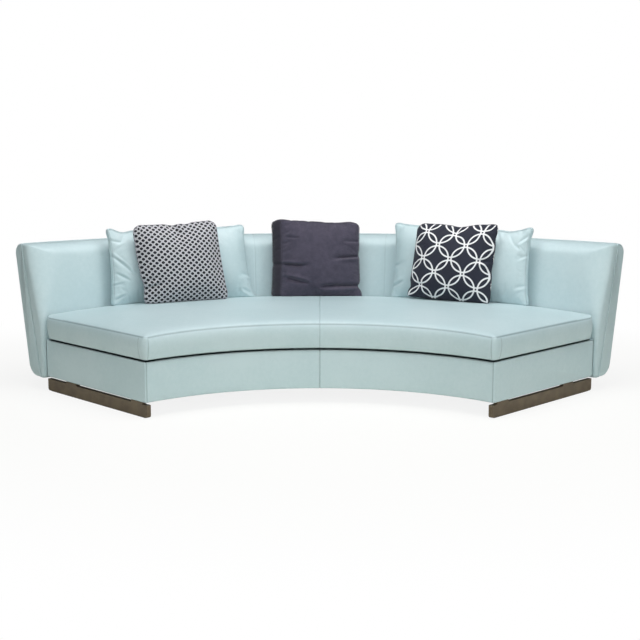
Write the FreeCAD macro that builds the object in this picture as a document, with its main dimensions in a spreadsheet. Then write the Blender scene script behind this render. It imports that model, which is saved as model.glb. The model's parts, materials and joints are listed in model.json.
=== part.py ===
import FreeCAD, Part
import math
import os
import re
import Sketcher

# A curved sofa. Its plan is a sector of a ring: the seat's front edge is an arc that
# bends away from the sitter's feet, the ends are cut along radii, and the back is a
# leaning shell behind it. Most profiles are drawn in a radial plane, as distance from
# the arc's upright axis and height above the floor, and turned round that axis.
# Lengths are in millimetres and angles in degrees.

doc = FreeCAD.newDocument("CurvedSofa")
sheet = doc.addObject("Spreadsheet::Sheet", "Sizes")

dimensions = {
    # plan of the whole sofa
    "front_radius": 1273,
    "end_angle": 44.1,
    "base_depth": 943,
    # base box
    "base_clearance": 81,
    "base_height": 214,
    "base_corner_radius": 6,
    "dust_cloth_setback": 30,
    "leather_thickness": 2,
    "base_foam": 12,
    "rail_thickness": 25,
    "end_rail_thickness": 22,
    "rib_thickness": 24,
    "rib_drop": 40,
    "rib_spacing": 16,
    "block_leg": 80,
    "block_height": 120,
    "webbing_width": 70,
    "webbing_thickness": 2,
    "webbing_pitch": 4,
    "dust_cloth_thickness": 1,
    # seat cushion
    "seat_overhang": 15,
    "seat_end_angle": 0.35,
    "seat_front_height": 427,
    "seat_rear_height": 440,
    "seat_crown_rise": 40.5,
    "seat_rear_gap": 3,
    # leaning back
    "back_end_angle": 0.57,
    "back_clearance": 76,
    "back_height": 822,
    "lean_start": 370,
    "back_lean": 9.5,
    "parting_foot": 27,
    "parting_lean": 12,
    "shell_foot": 141,
    "shell_lean": 9.4,
    "shell_top_radius": 56,
    "shell_foot_radius": 80,
    "pad_roll_radius": 78,
    "shell_foam": 8,
    "back_panel_thickness": 6,
    "back_skin_thickness": 4,
    "bottom_rail_height": 62,
    # steel bars that tie the back's uprights to the base's ribs
    "tie_thickness": 5,
    "tie_height": 50,
    "tie_clearance": 165,
    "tie_base_grip": 100,
    "tie_back_grip": 60,
    # feet
    "blade_thickness": 25,
    "blade_height": 70,
    "blade_inset": 4,
    "blade_front_reach": 5,
    "blade_rear_setback": 3,
    "blade_corner_radius": 14,
    "front_tab_setback": 40,
    "rear_tab_setback": 190,
    "tab_length": 100,
    "glide_thickness": 3,
    "glide_margin": 25,
    "glide_width": 15,
    "stud_radius": 4,
    "stud_hole_radius": 4.5,
    "stud_height": 30,
    "stud_inset": 24,
    "support_width": 54,
    "support_glide_width": 44,
    "support_rear_setback": 136,
    "middle_support_setback": 430,
    # loose cushions
    "back_cushion_width": 850,
    "back_cushion_height": 455,
    "back_cushion_thickness": 150,
    "back_cushion_angle": 22.3,
    "throw_width": 490,
    "throw_height": 470,
    "throw_thickness": 130,
    "throw_angle": 22.3,
    "middle_throw_turn": 5,
    "cushion_bevel": 38,
    "cloth_thickness": 1.5,
    # clearances, and how far a cutting shape runs past what it cuts
    "layer_gap": 0.3,
    "joint_gap": 0.6,
    "cut_margin": 12,
}
for row, (name, size) in enumerate(dimensions.items(), start=1):
    sheet.set(f"A{row}", name)
    sheet.set(f"B{row}", str(size))
    sheet.setAlias(f"B{row}", name)
doc.recompute()

# counts of repeated pieces, and of the flats that a round is drawn with
rib_pairs = 2
strap_pairs = 10
foam_block_pairs = 4
crown_flats = 4
outer_roll_flats = 4
inner_roll_flats = 2


def bound(text):
    """The expression with each dimension's name pointing at its cell."""
    return re.sub(r"[a-z]+(?:_[a-z]+)+", lambda found: "Sizes." + found.group(), str(text))


def value(text):
    """What an expression on the dimensions is worth now."""
    result = sheet.evalExpression(bound(text))
    return float(getattr(result, "Value", result))


# radii and heights that several pieces share
base_rear = "(front_radius + base_depth)"
base_top = "(base_clearance + base_height)"
frame_inset = "(leather_thickness + base_foam + 2 * layer_gap)"
frame_top = f"({base_top} - {frame_inset} - webbing_thickness - layer_gap)"
frame_bottom = "(base_clearance + dust_cloth_thickness + 2 * layer_gap)"
pad_front = f"({base_rear} + layer_gap)"
back_end = "(end_angle + back_end_angle)"


def pad_front_at(height):
    """Radius of the back's leaning front face."""
    return f"({pad_front} + ({height} - lean_start) * tan(back_lean))"


def parting_at(height):
    """Radius of the seam between the pad and the shell."""
    return f"({base_rear} + parting_foot + ({height} - back_clearance) * tan(parting_lean))"


def shell_at(height):
    """Radius of the shell's leaning rear face."""
    return f"({base_rear} + shell_foot + ({height} - back_clearance) * tan(shell_lean))"


top_roll_height = "(back_height - shell_top_radius)"
top_roll_radius = f"({shell_at(top_roll_height)} - shell_top_radius / cos(shell_lean))"
shell_reach = f"({top_roll_radius} + shell_top_radius)"
seat_corner_y = "((front_radius - seat_overhang) * cos(end_angle + seat_end_angle))"
# the arc's axis stands in front of the middle of the sofa's depth
arc_y = f"(-({shell_reach} + {seat_corner_y}) / 2)"


def turned_by(length, radius):
    """A short length along an arc as an angle in degrees."""
    return f"(({length}) / ({radius}) * 180 / pi)"


def spot(x="0", y="0", z="0", axis="0; 0; 1", angle="0"):
    return f"placement(vector({x}; {y}; {z}); rotation(vector({axis}); {angle}))"


def polar(angle="0", inward="0"):
    """Placement whose X runs outwards along a radius, seen from the arc's axis."""
    return f"{spot(y=arc_y, angle=f'90 - ({angle})')} * {spot(y=inward)}"


def place(piece, text):
    piece.setExpression("Placement", bound(text))
    doc.recompute()
    return piece


def origin_plane(body, role):
    return next(feature for feature in body.Origin.OriginFeatures if feature.Role == role)


def outline(body, plane, corners):
    """Closed sketch of straight sides through corners."""
    sketch = body.newObject("Sketcher::SketchObject", body.Name + "_outline")
    sketch.AttachmentSupport = [(origin_plane(body, plane), "")]
    sketch.MapMode = "FlatFace"
    points = [FreeCAD.Vector(value(across), value(up), 0) for across, up in corners]
    count = len(points)
    for side, start in enumerate(points):
        sketch.addGeometry(Part.LineSegment(start, points[(side + 1) % count]), False)
    for side, (across, up) in enumerate(corners):
        following = (side + 1) % count
        sketch.addConstraint(Sketcher.Constraint("Coincident", side, 2, following, 1))
        for kind, text in (("DistanceX", across), ("DistanceY", up)):
            corner = Sketcher.Constraint(kind, -1, 1, side, 1, value(text))
            index = sketch.addConstraint(corner)
            sketch.setExpression(f"Constraints[{index}]", bound(text))
    return sketch


def new_body(name):
    body = doc.addObject("PartDesign::Body", name)
    body.Label = name
    return body


def ring(name, corners, half_angle, angle="0"):
    """Body made by turning a radial outline round the arc's axis to both sides."""
    body = new_body(name)
    sketch = outline(body, "XZ_Plane", corners)
    turn = body.newObject("PartDesign::Revolution", name + "_turn")
    turn.Profile = sketch
    turn.ReferenceAxis = (sketch, ["V_Axis"])
    turn.Midplane = True
    turn.setExpression("Angle", bound(f"2 * ({half_angle})"))
    return place(body, polar(angle))


def plate(name, corners, thickness, placement):
    """Body padded evenly to both sides of a radial outline."""
    body = new_body(name)
    pad = body.newObject("PartDesign::Pad", name + "_pad")
    pad.Profile = outline(body, "XZ_Plane", corners)
    pad.Midplane = True
    pad.setExpression("Length", bound(thickness))
    return place(body, placement)


def block(name, corners, height, placement):
    """Body padded upwards from an outline in plan."""
    body = new_body(name)
    pad = body.newObject("PartDesign::Pad", name + "_pad")
    pad.Profile = outline(body, "XY_Plane", corners)
    pad.setExpression("Length", bound(height))
    return place(body, placement)


def box(name, size, placement):
    """Box whose X starts at its placement and whose Y lies evenly to both sides of it."""
    piece = doc.addObject("Part::Box", name)
    length, width, height = size
    piece.setExpression("Length", bound(length))
    piece.setExpression("Width", bound(width))
    piece.setExpression("Height", bound(height))
    return place(piece, f"{placement} * {spot(y=f'-({width}) / 2')}")


def rounded(body, radius, test):
    """Rounds the edges whose middle passes a test of radius, tangent, height and edge."""
    base = body.Tip
    chosen = []
    for number, edge in enumerate(base.Shape.Edges, start=1):
        middle = edge.valueAt((edge.FirstParameter + edge.LastParameter) / 2)
        if test(math.hypot(middle.x, middle.y), middle.y, middle.z, edge):
            chosen.append(f"Edge{number}")
    fillet = body.newObject("PartDesign::Fillet", f"{body.Name}_round{len(body.Group)}")
    fillet.Base = (base, chosen)
    fillet.setExpression("Radius", bound(radius))
    body.Tip = fillet
    doc.recompute()
    return body


def near(number, text, reach=0.5):
    return abs(number - value(text)) < reach


def runs_round(edge):
    """True for the arcs that run along the sofa, which are its widest circles."""
    return edge.Curve.TypeId == "Part::GeomCircle" and edge.Curve.Radius > value("front_radius / 2")


def combine(kind, name, base, tool):
    piece = doc.addObject(kind, name)
    piece.Label = name
    piece.Base = base
    piece.Tool = tool
    doc.recompute()
    return piece


def cut(name, base, tool):
    return combine("Part::Cut", name, base, tool)


def common(name, base, tool):
    return combine("Part::Common", name, base, tool)


def group(name, members):
    piece = doc.addObject("Part::Compound", name)
    piece.Label = name
    piece.Links = members
    doc.recompute()
    return piece


nodes = []


def keep(piece):
    """Makes a finished sub-part one of the files that are written."""
    nodes.append(piece)
    return piece


sides = {"left": -1, "right": 1}
rib_turns = range(-rib_pairs, rib_pairs + 1)


def sector(name, inset):
    """Wedge between two upright planes that lie inside the sofa's end planes."""
    apex = f"({inset}) / sin(end_angle)"
    far = f"{apex} + 2 * {base_rear} * cos(end_angle)"
    half = f"2 * {base_rear} * sin(end_angle)"
    corners = [(apex, "0"), (far, f"0 - {half}"), (far, half)]
    return block(name, corners, "back_height", polar())


def wedges(name, half_angle):
    """Wedges round the axis that split what spans the half angle into equal blocks."""
    count = 2 * foam_block_pairs
    share = f"(2 * ({half_angle}) / {count})"
    gap = turned_by("layer_gap / 2", "front_radius")
    far = f"2 * {base_rear}"
    pieces = []
    for number in range(count):
        # the outermost wedges reach past the ends, which are cut elsewhere
        outer = "cut_margin" if number in (0, count - 1) else "0"
        shift = f"({turned_by(outer, base_rear)} / 2)"
        half = f"({share} / 2 - {gap} + {shift})"
        side = -1 if number == 0 else 1
        angle = f"({number + 0.5 - count / 2} * {share} + {side} * {shift})"
        corners = [
            ("0", "0"),
            (f"{far} * cos({half})", f"0 - {far} * sin({half})"),
            (f"{far} * cos({half})", f"{far} * sin({half})"),
        ]
        pieces.append(block(f"{name}{number}", corners, "back_height", polar(angle)))
    return group(name, pieces)


# Steel bars that tie the back to the base: each lies against the side of a rib and of
# the upright behind it, and passes through narrow slots in what stands between.
rear_rail_front = f"({base_rear} - rail_thickness)"
rib_rear = f"({rear_rail_front} - joint_gap)"


def core_front_at(height):
    """Radius at which the back's inner frame starts, behind its bent panel."""
    return f"({parting_at(height)} + 2 * layer_gap + back_panel_thickness / cos(parting_lean))"


def tie_bars(name, clearance):
    bars = []
    length = (
        f"({core_front_at('tie_clearance')} + tie_back_grip"
        f" - {rib_rear} + tie_base_grip + 2 * {clearance})"
    )
    for turn in rib_turns:
        side = -1 if turn < 0 else 1
        beside = f"{side} * (rib_thickness / 2 + layer_gap + tie_thickness / 2)"
        start = spot(
            x=f"{rib_rear} - tie_base_grip - {clearance}", z=f"tie_clearance - {clearance}"
        )
        size = (length, f"tie_thickness + 2 * {clearance}", f"tie_height + 2 * {clearance}")
        placement = f"{polar(f'{turn} * rib_spacing', beside)} * {start}"
        bars.append(box(f"{name}{turn + rib_pairs}", size, placement))
    return group(name, bars)


keep(tie_bars("back_ties", "0"))
tie_slots = tie_bars("tie_slots", "layer_gap")

# Studs that stand on the blades' tabs and go up into the end rails.
blade_start = "(front_radius - blade_front_reach)"
blade_end = f"({base_rear} - blade_rear_setback)"
tab_fronts = [
    f"({blade_start} + front_tab_setback)",
    f"({blade_end} - rear_tab_setback - tab_length)",
]


def studs(name, radius, height):
    pegs = []
    for side in sides.values():
        for tab_front in tab_fronts:
            peg = doc.addObject("Part::Cylinder", f"{name}{len(pegs)}")
            peg.setExpression("Radius", bound(radius))
            peg.setExpression("Height", bound(height))
            foot = spot(x=f"{tab_front} + tab_length / 2", z="base_clearance")
            pegs.append(
                place(peg, f"{polar(f'{side} * end_angle', f'{side} * stud_inset')} * {foot}")
            )
    return group(name, pegs)


keep(studs("foot_studs", "stud_radius", "stud_height"))
stud_holes = studs("stud_holes", "stud_hole_radius", "(stud_height + layer_gap)")

# Base frame: two bent rails, an end rail at each end, ribs between and glued blocks.
front_rail_front = f"(front_radius + {frame_inset})"
front_rail_back = f"({front_rail_front} + rail_thickness)"
rib_front = f"({front_rail_back} + joint_gap)"
frame_sector = sector("frame_sector", frame_inset)


def section(front, rear, low, high):
    """Corners of an upright rectangle in a radial plane."""
    return [(front, low), (rear, low), (rear, high), (front, high)]


for name, front, rear in (
    ("base_front_rail", front_rail_front, front_rail_back),
    ("base_rear_rail", rear_rail_front, base_rear),
):
    rail = ring(name + "_arc", section(front, rear, frame_bottom, frame_top), "end_angle")
    if name == "base_rear_rail":
        rail = cut(name + "_slotted", rail, tie_slots)
    keep(common(name, rail, frame_sector))

for word, side in sides.items():
    rail = plate(
        f"end_rail_{word}_blank",
        section(rib_front, rib_rear, frame_bottom, frame_top),
        "end_rail_thickness",
        polar(f"{side} * end_angle", f"{side} * ({frame_inset} + end_rail_thickness / 2)"),
    )
    keep(cut(f"base_end_rail_{word}", rail, stud_holes))
for number, turn in enumerate(rib_turns, start=1):
    keep(
        plate(
            f"base_rib_{number}",
            section(rib_front, rib_rear, frame_bottom, f"({frame_top} - rib_drop)"),
            "rib_thickness",
            polar(f"{turn} * rib_spacing"),
        )
    )

# Triangular blocks in the corners between the end rails and the bent rails. The rear
# rail bends in front of a block's far end, so the block keeps clear of it by that sag.
block_reach = f"({frame_inset} + end_rail_thickness + block_leg)"
rail_sag = f"({block_reach} ^ 2 / (2 * {rear_rail_front}))"
block_spots = [
    (rib_front, {-1: 270, 1: 0}),
    (f"({rib_rear} - {rail_sag})", {-1: 180, 1: 90}),
]
block_corners = [
    ("0", "joint_gap"),
    ("block_leg", "joint_gap"),
    ("0", "block_leg"),
]
turned_corners = [("joint_gap", "0"), ("block_leg", "0"), ("joint_gap", "block_leg")]
for number, (side, (along, quarter_turns)) in enumerate(
    [(side, block_spot) for side in sides.values() for block_spot in block_spots], start=1
):
    quarter = quarter_turns[side]
    beside = f"{side} * ({frame_inset} + end_rail_thickness)"
    keep(
        block(
            f"corner_block_{number}",
            turned_corners if quarter in (90, 270) else block_corners,
            "block_height",
            f"{polar(f'{side} * end_angle', beside)} * "
            + spot(x=along, z=f"{frame_bottom} + joint_gap", angle=quarter),
        )
    )

# Elastic webbing, stretched along radii over the two bent rails.
straps = [
    box(
        f"strap{turn + strap_pairs}",
        (f"base_depth - {frame_inset}", "webbing_width", "webbing_thickness"),
        f"{polar(f'{turn} * webbing_pitch')} * {spot(x=front_rail_front, z=frame_top)}",
    )
    for turn in range(-strap_pairs, strap_pairs + 1)
]
keep(group("seat_webbing", straps))

# Base upholstery: leather over foam on the front, the ends and the top.
base_outside = ring(
    "base_outside",
    section("front_radius", base_rear, "base_clearance", base_top),
    "end_angle",
)
rounded(
    base_outside,
    "base_corner_radius",
    lambda across, along, up, edge: near(across, "front_radius") and not runs_round(edge),
)


def base_layer(name, inset, rear, low):
    """The base's outside moved in by an inset, with square corners."""
    corners = section(f"front_radius + {inset}", rear, low, f"{base_top} - {inset}")
    return common(
        name, ring(name + "_arc", corners, "end_angle"), sector(name + "_ends", inset)
    )


open_rear = f"({base_rear} + cut_margin)"
open_bottom = "(base_clearance - cut_margin)"
base_lining = base_layer("base_lining", "leather_thickness", open_rear, open_bottom)
keep(cut("base_cover", base_outside, base_lining))
foam_outside = base_layer(
    "base_foam_outside", "(leather_thickness + layer_gap)", base_rear, "base_clearance + layer_gap"
)
foam_inside = base_layer("base_foam_inside", f"({frame_inset} - layer_gap)", open_rear, open_bottom)
foam_sheet = cut("base_foam_sheet", foam_outside, foam_inside)
keep(common("base_padding", foam_sheet, wedges("foam_wedges", "end_angle")))
dust_cloth_low = "base_clearance + layer_gap"
dust_cloth = ring(
    "dust_cloth_arc",
    section(front_rail_front, base_rear, dust_cloth_low, f"{dust_cloth_low} + dust_cloth_thickness"),
    "end_angle",
)
keep(common("dust_cloth", dust_cloth, sector("dust_cloth_sector", "dust_cloth_setback")))

# Seat cushion: one long crowned cushion with a foam core in a leather cover.
seat_ends = "(end_angle + seat_end_angle)"
seat_front = "(front_radius - seat_overhang)"
seat_back = f"({base_rear} - seat_rear_gap)"


def seat_height_at(share):
    """Height of the crowned top at a share of the way from its front to its rear edge."""
    straight = f"seat_front_height + {share} * (seat_rear_height - seat_front_height)"
    return f"({straight} + 4 * {share} * (1 - {share}) * seat_crown_rise)"


def seat_outline(inset):
    """Corners of the seat's section, whose crowned top is drawn with flats."""
    low = f"{base_top} + layer_gap + {inset}"
    front, rear = f"({seat_front} + {inset})", f"({seat_back} - {inset})"
    corners = [(front, low), (rear, low)]
    for step in range(crown_flats, -1, -1):
        share = step / crown_flats
        corners.append((f"{front} + {share} * ({rear} - {front})", f"{seat_height_at(share)} - {inset}"))
    return corners


def seat_layer(name, inset):
    half_angle = f"{seat_ends} - {turned_by(inset, 'front_radius')}"
    return ring(name, seat_outline(inset), half_angle)


seat_outside = ring("seat_outside", seat_outline("0"), seat_ends)
keep(cut("seat_cover", seat_outside, seat_layer("seat_lining", "leather_thickness")))
seat_foam = seat_layer("seat_foam", "(leather_thickness + layer_gap)")
keep(common("seat_core", seat_foam, wedges("seat_wedges", seat_ends)))


def seat_top(radius):
    """Height of the rear flat of the seat's top at a distance from the arc's axis."""
    start = (crown_flats - 1) / crown_flats
    share = f"((({radius}) - {seat_front}) / ({seat_back} - {seat_front}) - {start})"
    rise = f"(seat_rear_height - {seat_height_at(start)})"
    return f"({seat_height_at(start)} + {share} * {crown_flats} * {rise})"


def roll(centre, radius, inset, start, end, flats):
    """Corners on a quarter or so of a circle, at angles from straight up."""
    across, up = centre
    corners = []
    for step in range(flats + 1):
        angle = f"({start} + {step / flats} * ({end} - ({start})))"
        reach = f"({radius} - {inset})"
        corners.append((f"{across} + {reach} * sin({angle})", f"{up} + {reach} * cos({angle})"))
    return corners


# Back pad: foam in leather, which rolls over the top.
pad_roll_height = "(back_height - pad_roll_radius)"
pad_roll_centre = (
    f"({pad_front_at(pad_roll_height)} + pad_roll_radius / cos(back_lean))",
    pad_roll_height,
)
pad = ring(
    "back_pad_whole",
    [(pad_front, "back_clearance"), (pad_front, "lean_start")]
    + roll(pad_roll_centre, "pad_roll_radius", "0", "(back_lean - 90)", "0", outer_roll_flats)
    + [
        (parting_at("back_height"), "back_height"),
        (parting_at("back_clearance"), "back_clearance"),
    ],
    back_end,
)
keep(cut("back_pad", pad, tie_slots))

# Back shell: leather on thin foam round the outer half of the back.
foot_roll_height = "(back_clearance + shell_foot_radius)"
top_roll = ((top_roll_radius, top_roll_height), "shell_top_radius")
foot_roll = (
    (f"({shell_at(foot_roll_height)} - shell_foot_radius / cos(shell_lean))", foot_roll_height),
    "shell_foot_radius",
)
shell_thickness = "(leather_thickness + shell_foam)"


def shell_layer(name, inset, front_shift, flats):
    low, top = f"back_clearance + {inset}", f"back_height - {inset}"
    corners = [(f"{parting_at(low)} + {front_shift}", low)]
    corners += roll(*foot_roll, inset, "180", "(90 + shell_lean)", flats)
    corners += roll(*top_roll, inset, "(90 + shell_lean)", "0", flats)
    corners.append((f"{parting_at(top)} + {front_shift}", top))
    return ring(name, corners, f"{back_end} - {turned_by(inset, base_rear)}")


shell_outside = shell_layer("shell_outside", "0", "layer_gap", outer_roll_flats)
shell_inside = shell_layer("shell_inside", shell_thickness, "(-cut_margin)", inner_roll_flats)
keep(cut("back_outer_cover", shell_outside, shell_inside))
frame_layer = f"({shell_thickness} + layer_gap)"

# Back frame: a bent panel behind the pad, a bottom and a top rail, upright formers
# between them and a thin outer skin.
frame_ends = f"({back_end} - {turned_by(frame_layer, base_rear)})"
frame_low = f"(back_clearance + {frame_layer})"
frame_high = f"(back_height - {frame_layer})"
bottom_rail_top = f"({frame_low} + bottom_rail_height)"
top_rail_corners = roll(*top_roll, frame_layer, "(90 + shell_lean)", "0", inner_roll_flats)
top_rail_low = f"({top_rail_corners[0][1]})"


def core_rear_at(height):
    depth = f"({frame_layer} + back_skin_thickness + layer_gap)"
    return f"({shell_at(height)} - {depth} / cos(shell_lean))"


def panel_front_at(height):
    return f"({parting_at(height)} + layer_gap)"


def panel_rear_at(height):
    return f"({core_front_at(height)} - layer_gap)"


def skin_rear_at(height):
    return f"({shell_at(height)} - {frame_layer} / cos(shell_lean))"


def skin_front_at(height):
    return f"({core_rear_at(height)} + layer_gap)"


def between(front_at, rear_at, low, high):
    """Corners of a leaning section between a front and a rear face."""
    return [(front_at(low), low), (rear_at(low), low), (rear_at(high), high), (front_at(high), high)]


panel = ring(
    "back_panel_arc", between(panel_front_at, panel_rear_at, frame_low, frame_high), frame_ends
)
keep(cut("back_panel", panel, tie_slots))
keep(
    ring(
        "back_bottom_rail",
        [
            (core_front_at(frame_low), frame_low),
            (f"{shell_at(frame_low)} - shell_foot_radius", frame_low),
            (core_rear_at(bottom_rail_top), bottom_rail_top),
            (core_front_at(bottom_rail_top), bottom_rail_top),
        ],
        frame_ends,
    )
)
keep(
    ring(
        "back_top_rail",
        [(core_front_at(top_rail_low), top_rail_low)]
        + top_rail_corners
        + [(core_front_at(frame_high), frame_high)],
        frame_ends,
    )
)
skin_high = f"({top_rail_low} - layer_gap)"
keep(
    ring(
        "back_skin",
        between(skin_front_at, skin_rear_at, foot_roll_height, skin_high),
        frame_ends,
    )
)
former_outline = between(
    core_front_at, core_rear_at, f"({bottom_rail_top} + layer_gap)", skin_high
)
for number, turn in enumerate(rib_turns, start=1):
    keep(
        plate(
            f"back_former_{number}",
            former_outline,
            "rib_thickness",
            polar(f"{turn} * rib_spacing"),
        )
    )
end_former_turn = f"({back_end} - {turned_by(f'{frame_layer} + rib_thickness / 2', base_rear)})"
for word, side in sides.items():
    keep(
        plate(
            f"back_end_former_{word}",
            former_outline,
            "rib_thickness",
            polar(f"{side} * {end_former_turn}"),
        )
    )

# Feet: one flat metal blade on edge under each end, with two raised tabs that meet the
# base, and three plain supports further in.
blade_outline = [
    (blade_start, "glide_thickness"),
    (blade_end, "glide_thickness"),
    (blade_end, "blade_height"),
]
for tab_front in reversed(tab_fronts):
    tab_rear = f"({tab_front} + tab_length)"
    blade_outline += [
        (tab_rear, "blade_height"),
        (tab_rear, "base_clearance"),
        (tab_front, "base_clearance"),
        (tab_front, "blade_height"),
    ]
blade_outline.append((blade_start, "blade_height"))

for word, side in sides.items():
    under_end = polar(f"{side} * end_angle", f"{side} * (blade_inset + blade_thickness / 2)")
    blade = plate(f"foot_blade_{word}", blade_outline, "blade_thickness", under_end)
    rounded(
        blade,
        "blade_corner_radius",
        lambda across, along, up, edge: near(up, "glide_thickness")
        and near(edge.Length, "blade_thickness"),
    )
    keep(blade)
    glide_outline = section(
        f"{blade_start} + glide_margin", f"{blade_end} - glide_margin", "0", "glide_thickness"
    )
    keep(plate(f"blade_glide_{word}", glide_outline, "glide_width", under_end))

support_spots = [
    (-1, f"{base_rear} - support_rear_setback"),
    (0, "front_radius + middle_support_setback"),
    (1, f"{base_rear} - support_rear_setback"),
]
support_glides = []
for number, (turn, radius) in enumerate(support_spots, start=1):
    centre = f"{polar(f'{turn} * rib_spacing')} * {spot(x=radius)}"
    size = ("support_width", "support_width", "(base_clearance - glide_thickness)")
    foot = box(
        f"support_foot_{number}", size, f"{centre} * {spot(x='-support_width / 2', z='glide_thickness')}"
    )
    foot.Label = f"support_foot_{number}"
    keep(foot)
    size = ("support_glide_width", "support_glide_width", "glide_thickness")
    support_glides.append(
        box(f"support_glide{number}", size, f"{centre} * {spot(x='-support_glide_width / 2')}")
    )
keep(group("support_glides", support_glides))


# Loose cushions. Each is what a section across it and a section along it have in common,
# leans as the back does, and stands on the seat just in front of what it leans on.
def cushion_layer(name, size, rear_sag, inset, placement):
    width, height, thickness = size
    front = f"({inset} - {thickness})"
    rear = f"(-{inset})"
    low, high = f"({inset})", f"({height} - {inset})"
    profile = [
        (rear, low),
        (rear, high),
        (f"{front} + cushion_bevel", high),
        (front, f"{high} - cushion_bevel"),
        (front, f"{low} + cushion_bevel"),
        (f"{front} + cushion_bevel", low),
    ]
    upright = plate(f"{name}_side", profile, width, placement)
    half = f"({width} / 2 - {inset})"
    plan = []
    for share in (-1, -0.5, 0, 0.5, 1):
        plan.append((f"{rear} - {share * share} * {rear_sag}", f"{share} * {half}"))
    plan += [
        (f"{front} + cushion_bevel", half),
        (front, f"{half} - cushion_bevel"),
        (front, f"cushion_bevel - {half}"),
        (f"{front} + cushion_bevel", f"-{half}"),
    ]
    flat = block(f"{name}_plan", plan, height, placement)
    return common(name, upright, flat)


def loose_cushion(label, size, angle, stand, follows_back, turn="0"):
    """Cover and filling of one loose cushion."""
    radius, height = stand
    rear_sag = f"(({size[0]}) ^ 2 / (8 * {pad_front}))" if follows_back else "0"
    placement = (
        f"{polar(angle)} * {spot(x=radius, z=height, axis='0; 1; 0', angle='back_lean')}"
        f" * {spot(angle=turn)}"
    )
    outside = cushion_layer(f"{label}_outside", size, rear_sag, "0", placement)
    lining = cushion_layer(f"{label}_lining", size, rear_sag, "cloth_thickness", placement)
    keep(cut(f"{label}_cover", outside, lining))
    filling_inset = "(cloth_thickness + layer_gap)"
    keep(cushion_layer(f"{label}_insert", size, rear_sag, filling_inset, placement))


back_foot = pad_front_at("seat_rear_height")
stand_height = f"(seat_rear_height + joint_gap - ({back_foot} - {seat_back}) * tan(back_lean))"
back_cushion_stand = (
    f"({pad_front_at(stand_height)} - layer_gap / cos(back_lean))",
    stand_height,
)
throw_rear = (
    f"({back_cushion_stand[0]} - (back_cushion_thickness + layer_gap) / cos(back_lean))"
)
throw_stand = (throw_rear, f"({seat_top(throw_rear)} + joint_gap)")
middle_rear = f"({back_cushion_stand[0]} - throw_width / 2 * sin(middle_throw_turn))"
middle_stand = (middle_rear, f"({seat_top(middle_rear)} + joint_gap)")
leather_size = ("back_cushion_width", "back_cushion_height", "back_cushion_thickness")
throw_size = ("throw_width", "throw_height", "throw_thickness")
for word, side in sides.items():
    loose_cushion(
        f"back_cushion_{word}",
        leather_size,
        f"{side} * back_cushion_angle",
        back_cushion_stand,
        True,
    )
    loose_cushion(f"throw_{word}", throw_size, f"{side} * throw_angle", throw_stand, False)
loose_cushion("throw_middle", throw_size, "0", middle_stand, True, "middle_throw_turn")

# Checks before anything is written.
doc.recompute()
faults = [piece.Name for piece in doc.Objects if {"Invalid", "Error"} & set(piece.State)]
for piece in nodes:
    if piece.Shape.isNull() or not piece.Shape.isValid() or piece.Shape.Volume <= 0:
        faults.append(piece.Label)
if faults:
    raise RuntimeError("failed: " + ", ".join(faults))

os.makedirs("parts", exist_ok=True)
for piece in nodes:
    piece.Shape.exportStep(f"parts/{piece.Label}.step")
whole = Part.makeCompound([piece.Shape for piece in nodes]).BoundBox
sizes = [round(size, 1) for size in (whole.XLength, whole.YLength, whole.ZLength)]
print(len(nodes), "nodes in a box of", sizes)
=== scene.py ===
import json
import math

import bmesh
import bpy
import numpy as np
from mathutils import Matrix, Vector


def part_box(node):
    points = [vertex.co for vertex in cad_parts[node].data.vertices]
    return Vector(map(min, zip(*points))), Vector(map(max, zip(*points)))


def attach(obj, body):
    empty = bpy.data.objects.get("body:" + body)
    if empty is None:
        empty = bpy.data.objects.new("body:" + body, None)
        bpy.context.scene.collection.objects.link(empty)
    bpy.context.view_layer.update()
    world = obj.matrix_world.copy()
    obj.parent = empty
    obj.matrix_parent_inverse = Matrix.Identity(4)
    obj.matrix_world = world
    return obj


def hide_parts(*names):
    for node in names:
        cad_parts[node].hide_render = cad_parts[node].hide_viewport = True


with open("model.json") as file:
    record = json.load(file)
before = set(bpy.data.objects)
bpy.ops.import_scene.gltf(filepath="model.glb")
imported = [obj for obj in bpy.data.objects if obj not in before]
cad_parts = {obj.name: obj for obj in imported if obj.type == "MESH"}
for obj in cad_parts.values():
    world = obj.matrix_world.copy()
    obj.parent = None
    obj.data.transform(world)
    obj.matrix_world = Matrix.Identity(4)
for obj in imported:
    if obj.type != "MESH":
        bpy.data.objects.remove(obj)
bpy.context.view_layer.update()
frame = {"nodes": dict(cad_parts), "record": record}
nodes = frame["nodes"]
print("frame loaded:", len(nodes), "nodes")

# the sofa's plan: radii in metres from the arc's upright axis, angles in degrees
plan = {
    "frontRadius": 1.273,
    "rearRadius": 2.216,
    "baseEnd": 44.1,
    "seatEnd": 44.45,
    "backEnd": 44.67,
    "backReach": 2.3,
}
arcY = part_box("base_cover")[1].y - plan["rearRadius"]


# ---- shapes ----
def arcPoints(radius, angle, height):
    # angle in degrees from straight back, to the viewer's right
    radius, angle, height = np.broadcast_arrays(radius, np.radians(angle), height)
    return np.stack([radius * np.sin(angle), arcY + radius * np.cos(angle), height], axis=-1)


def smoothStep(value, low, high):
    share = np.clip((value - low) / (high - low), 0, 1)
    return share * share * (3 - 2 * share)


def softMax(one, other, width):
    return (one + other + np.sqrt((one - other) ** 2 + width**2) - width) / 2


def roundedBy(distance, radius):
    # how far a rounded edge lies inside the sharp one, at a distance from it
    inside = np.clip(radius - distance, 0, radius)
    return radius - np.sqrt(radius**2 - inside**2)


seamSteps = (0, 0.001, 0.002, 0.004, 0.008, 0.014)


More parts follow.
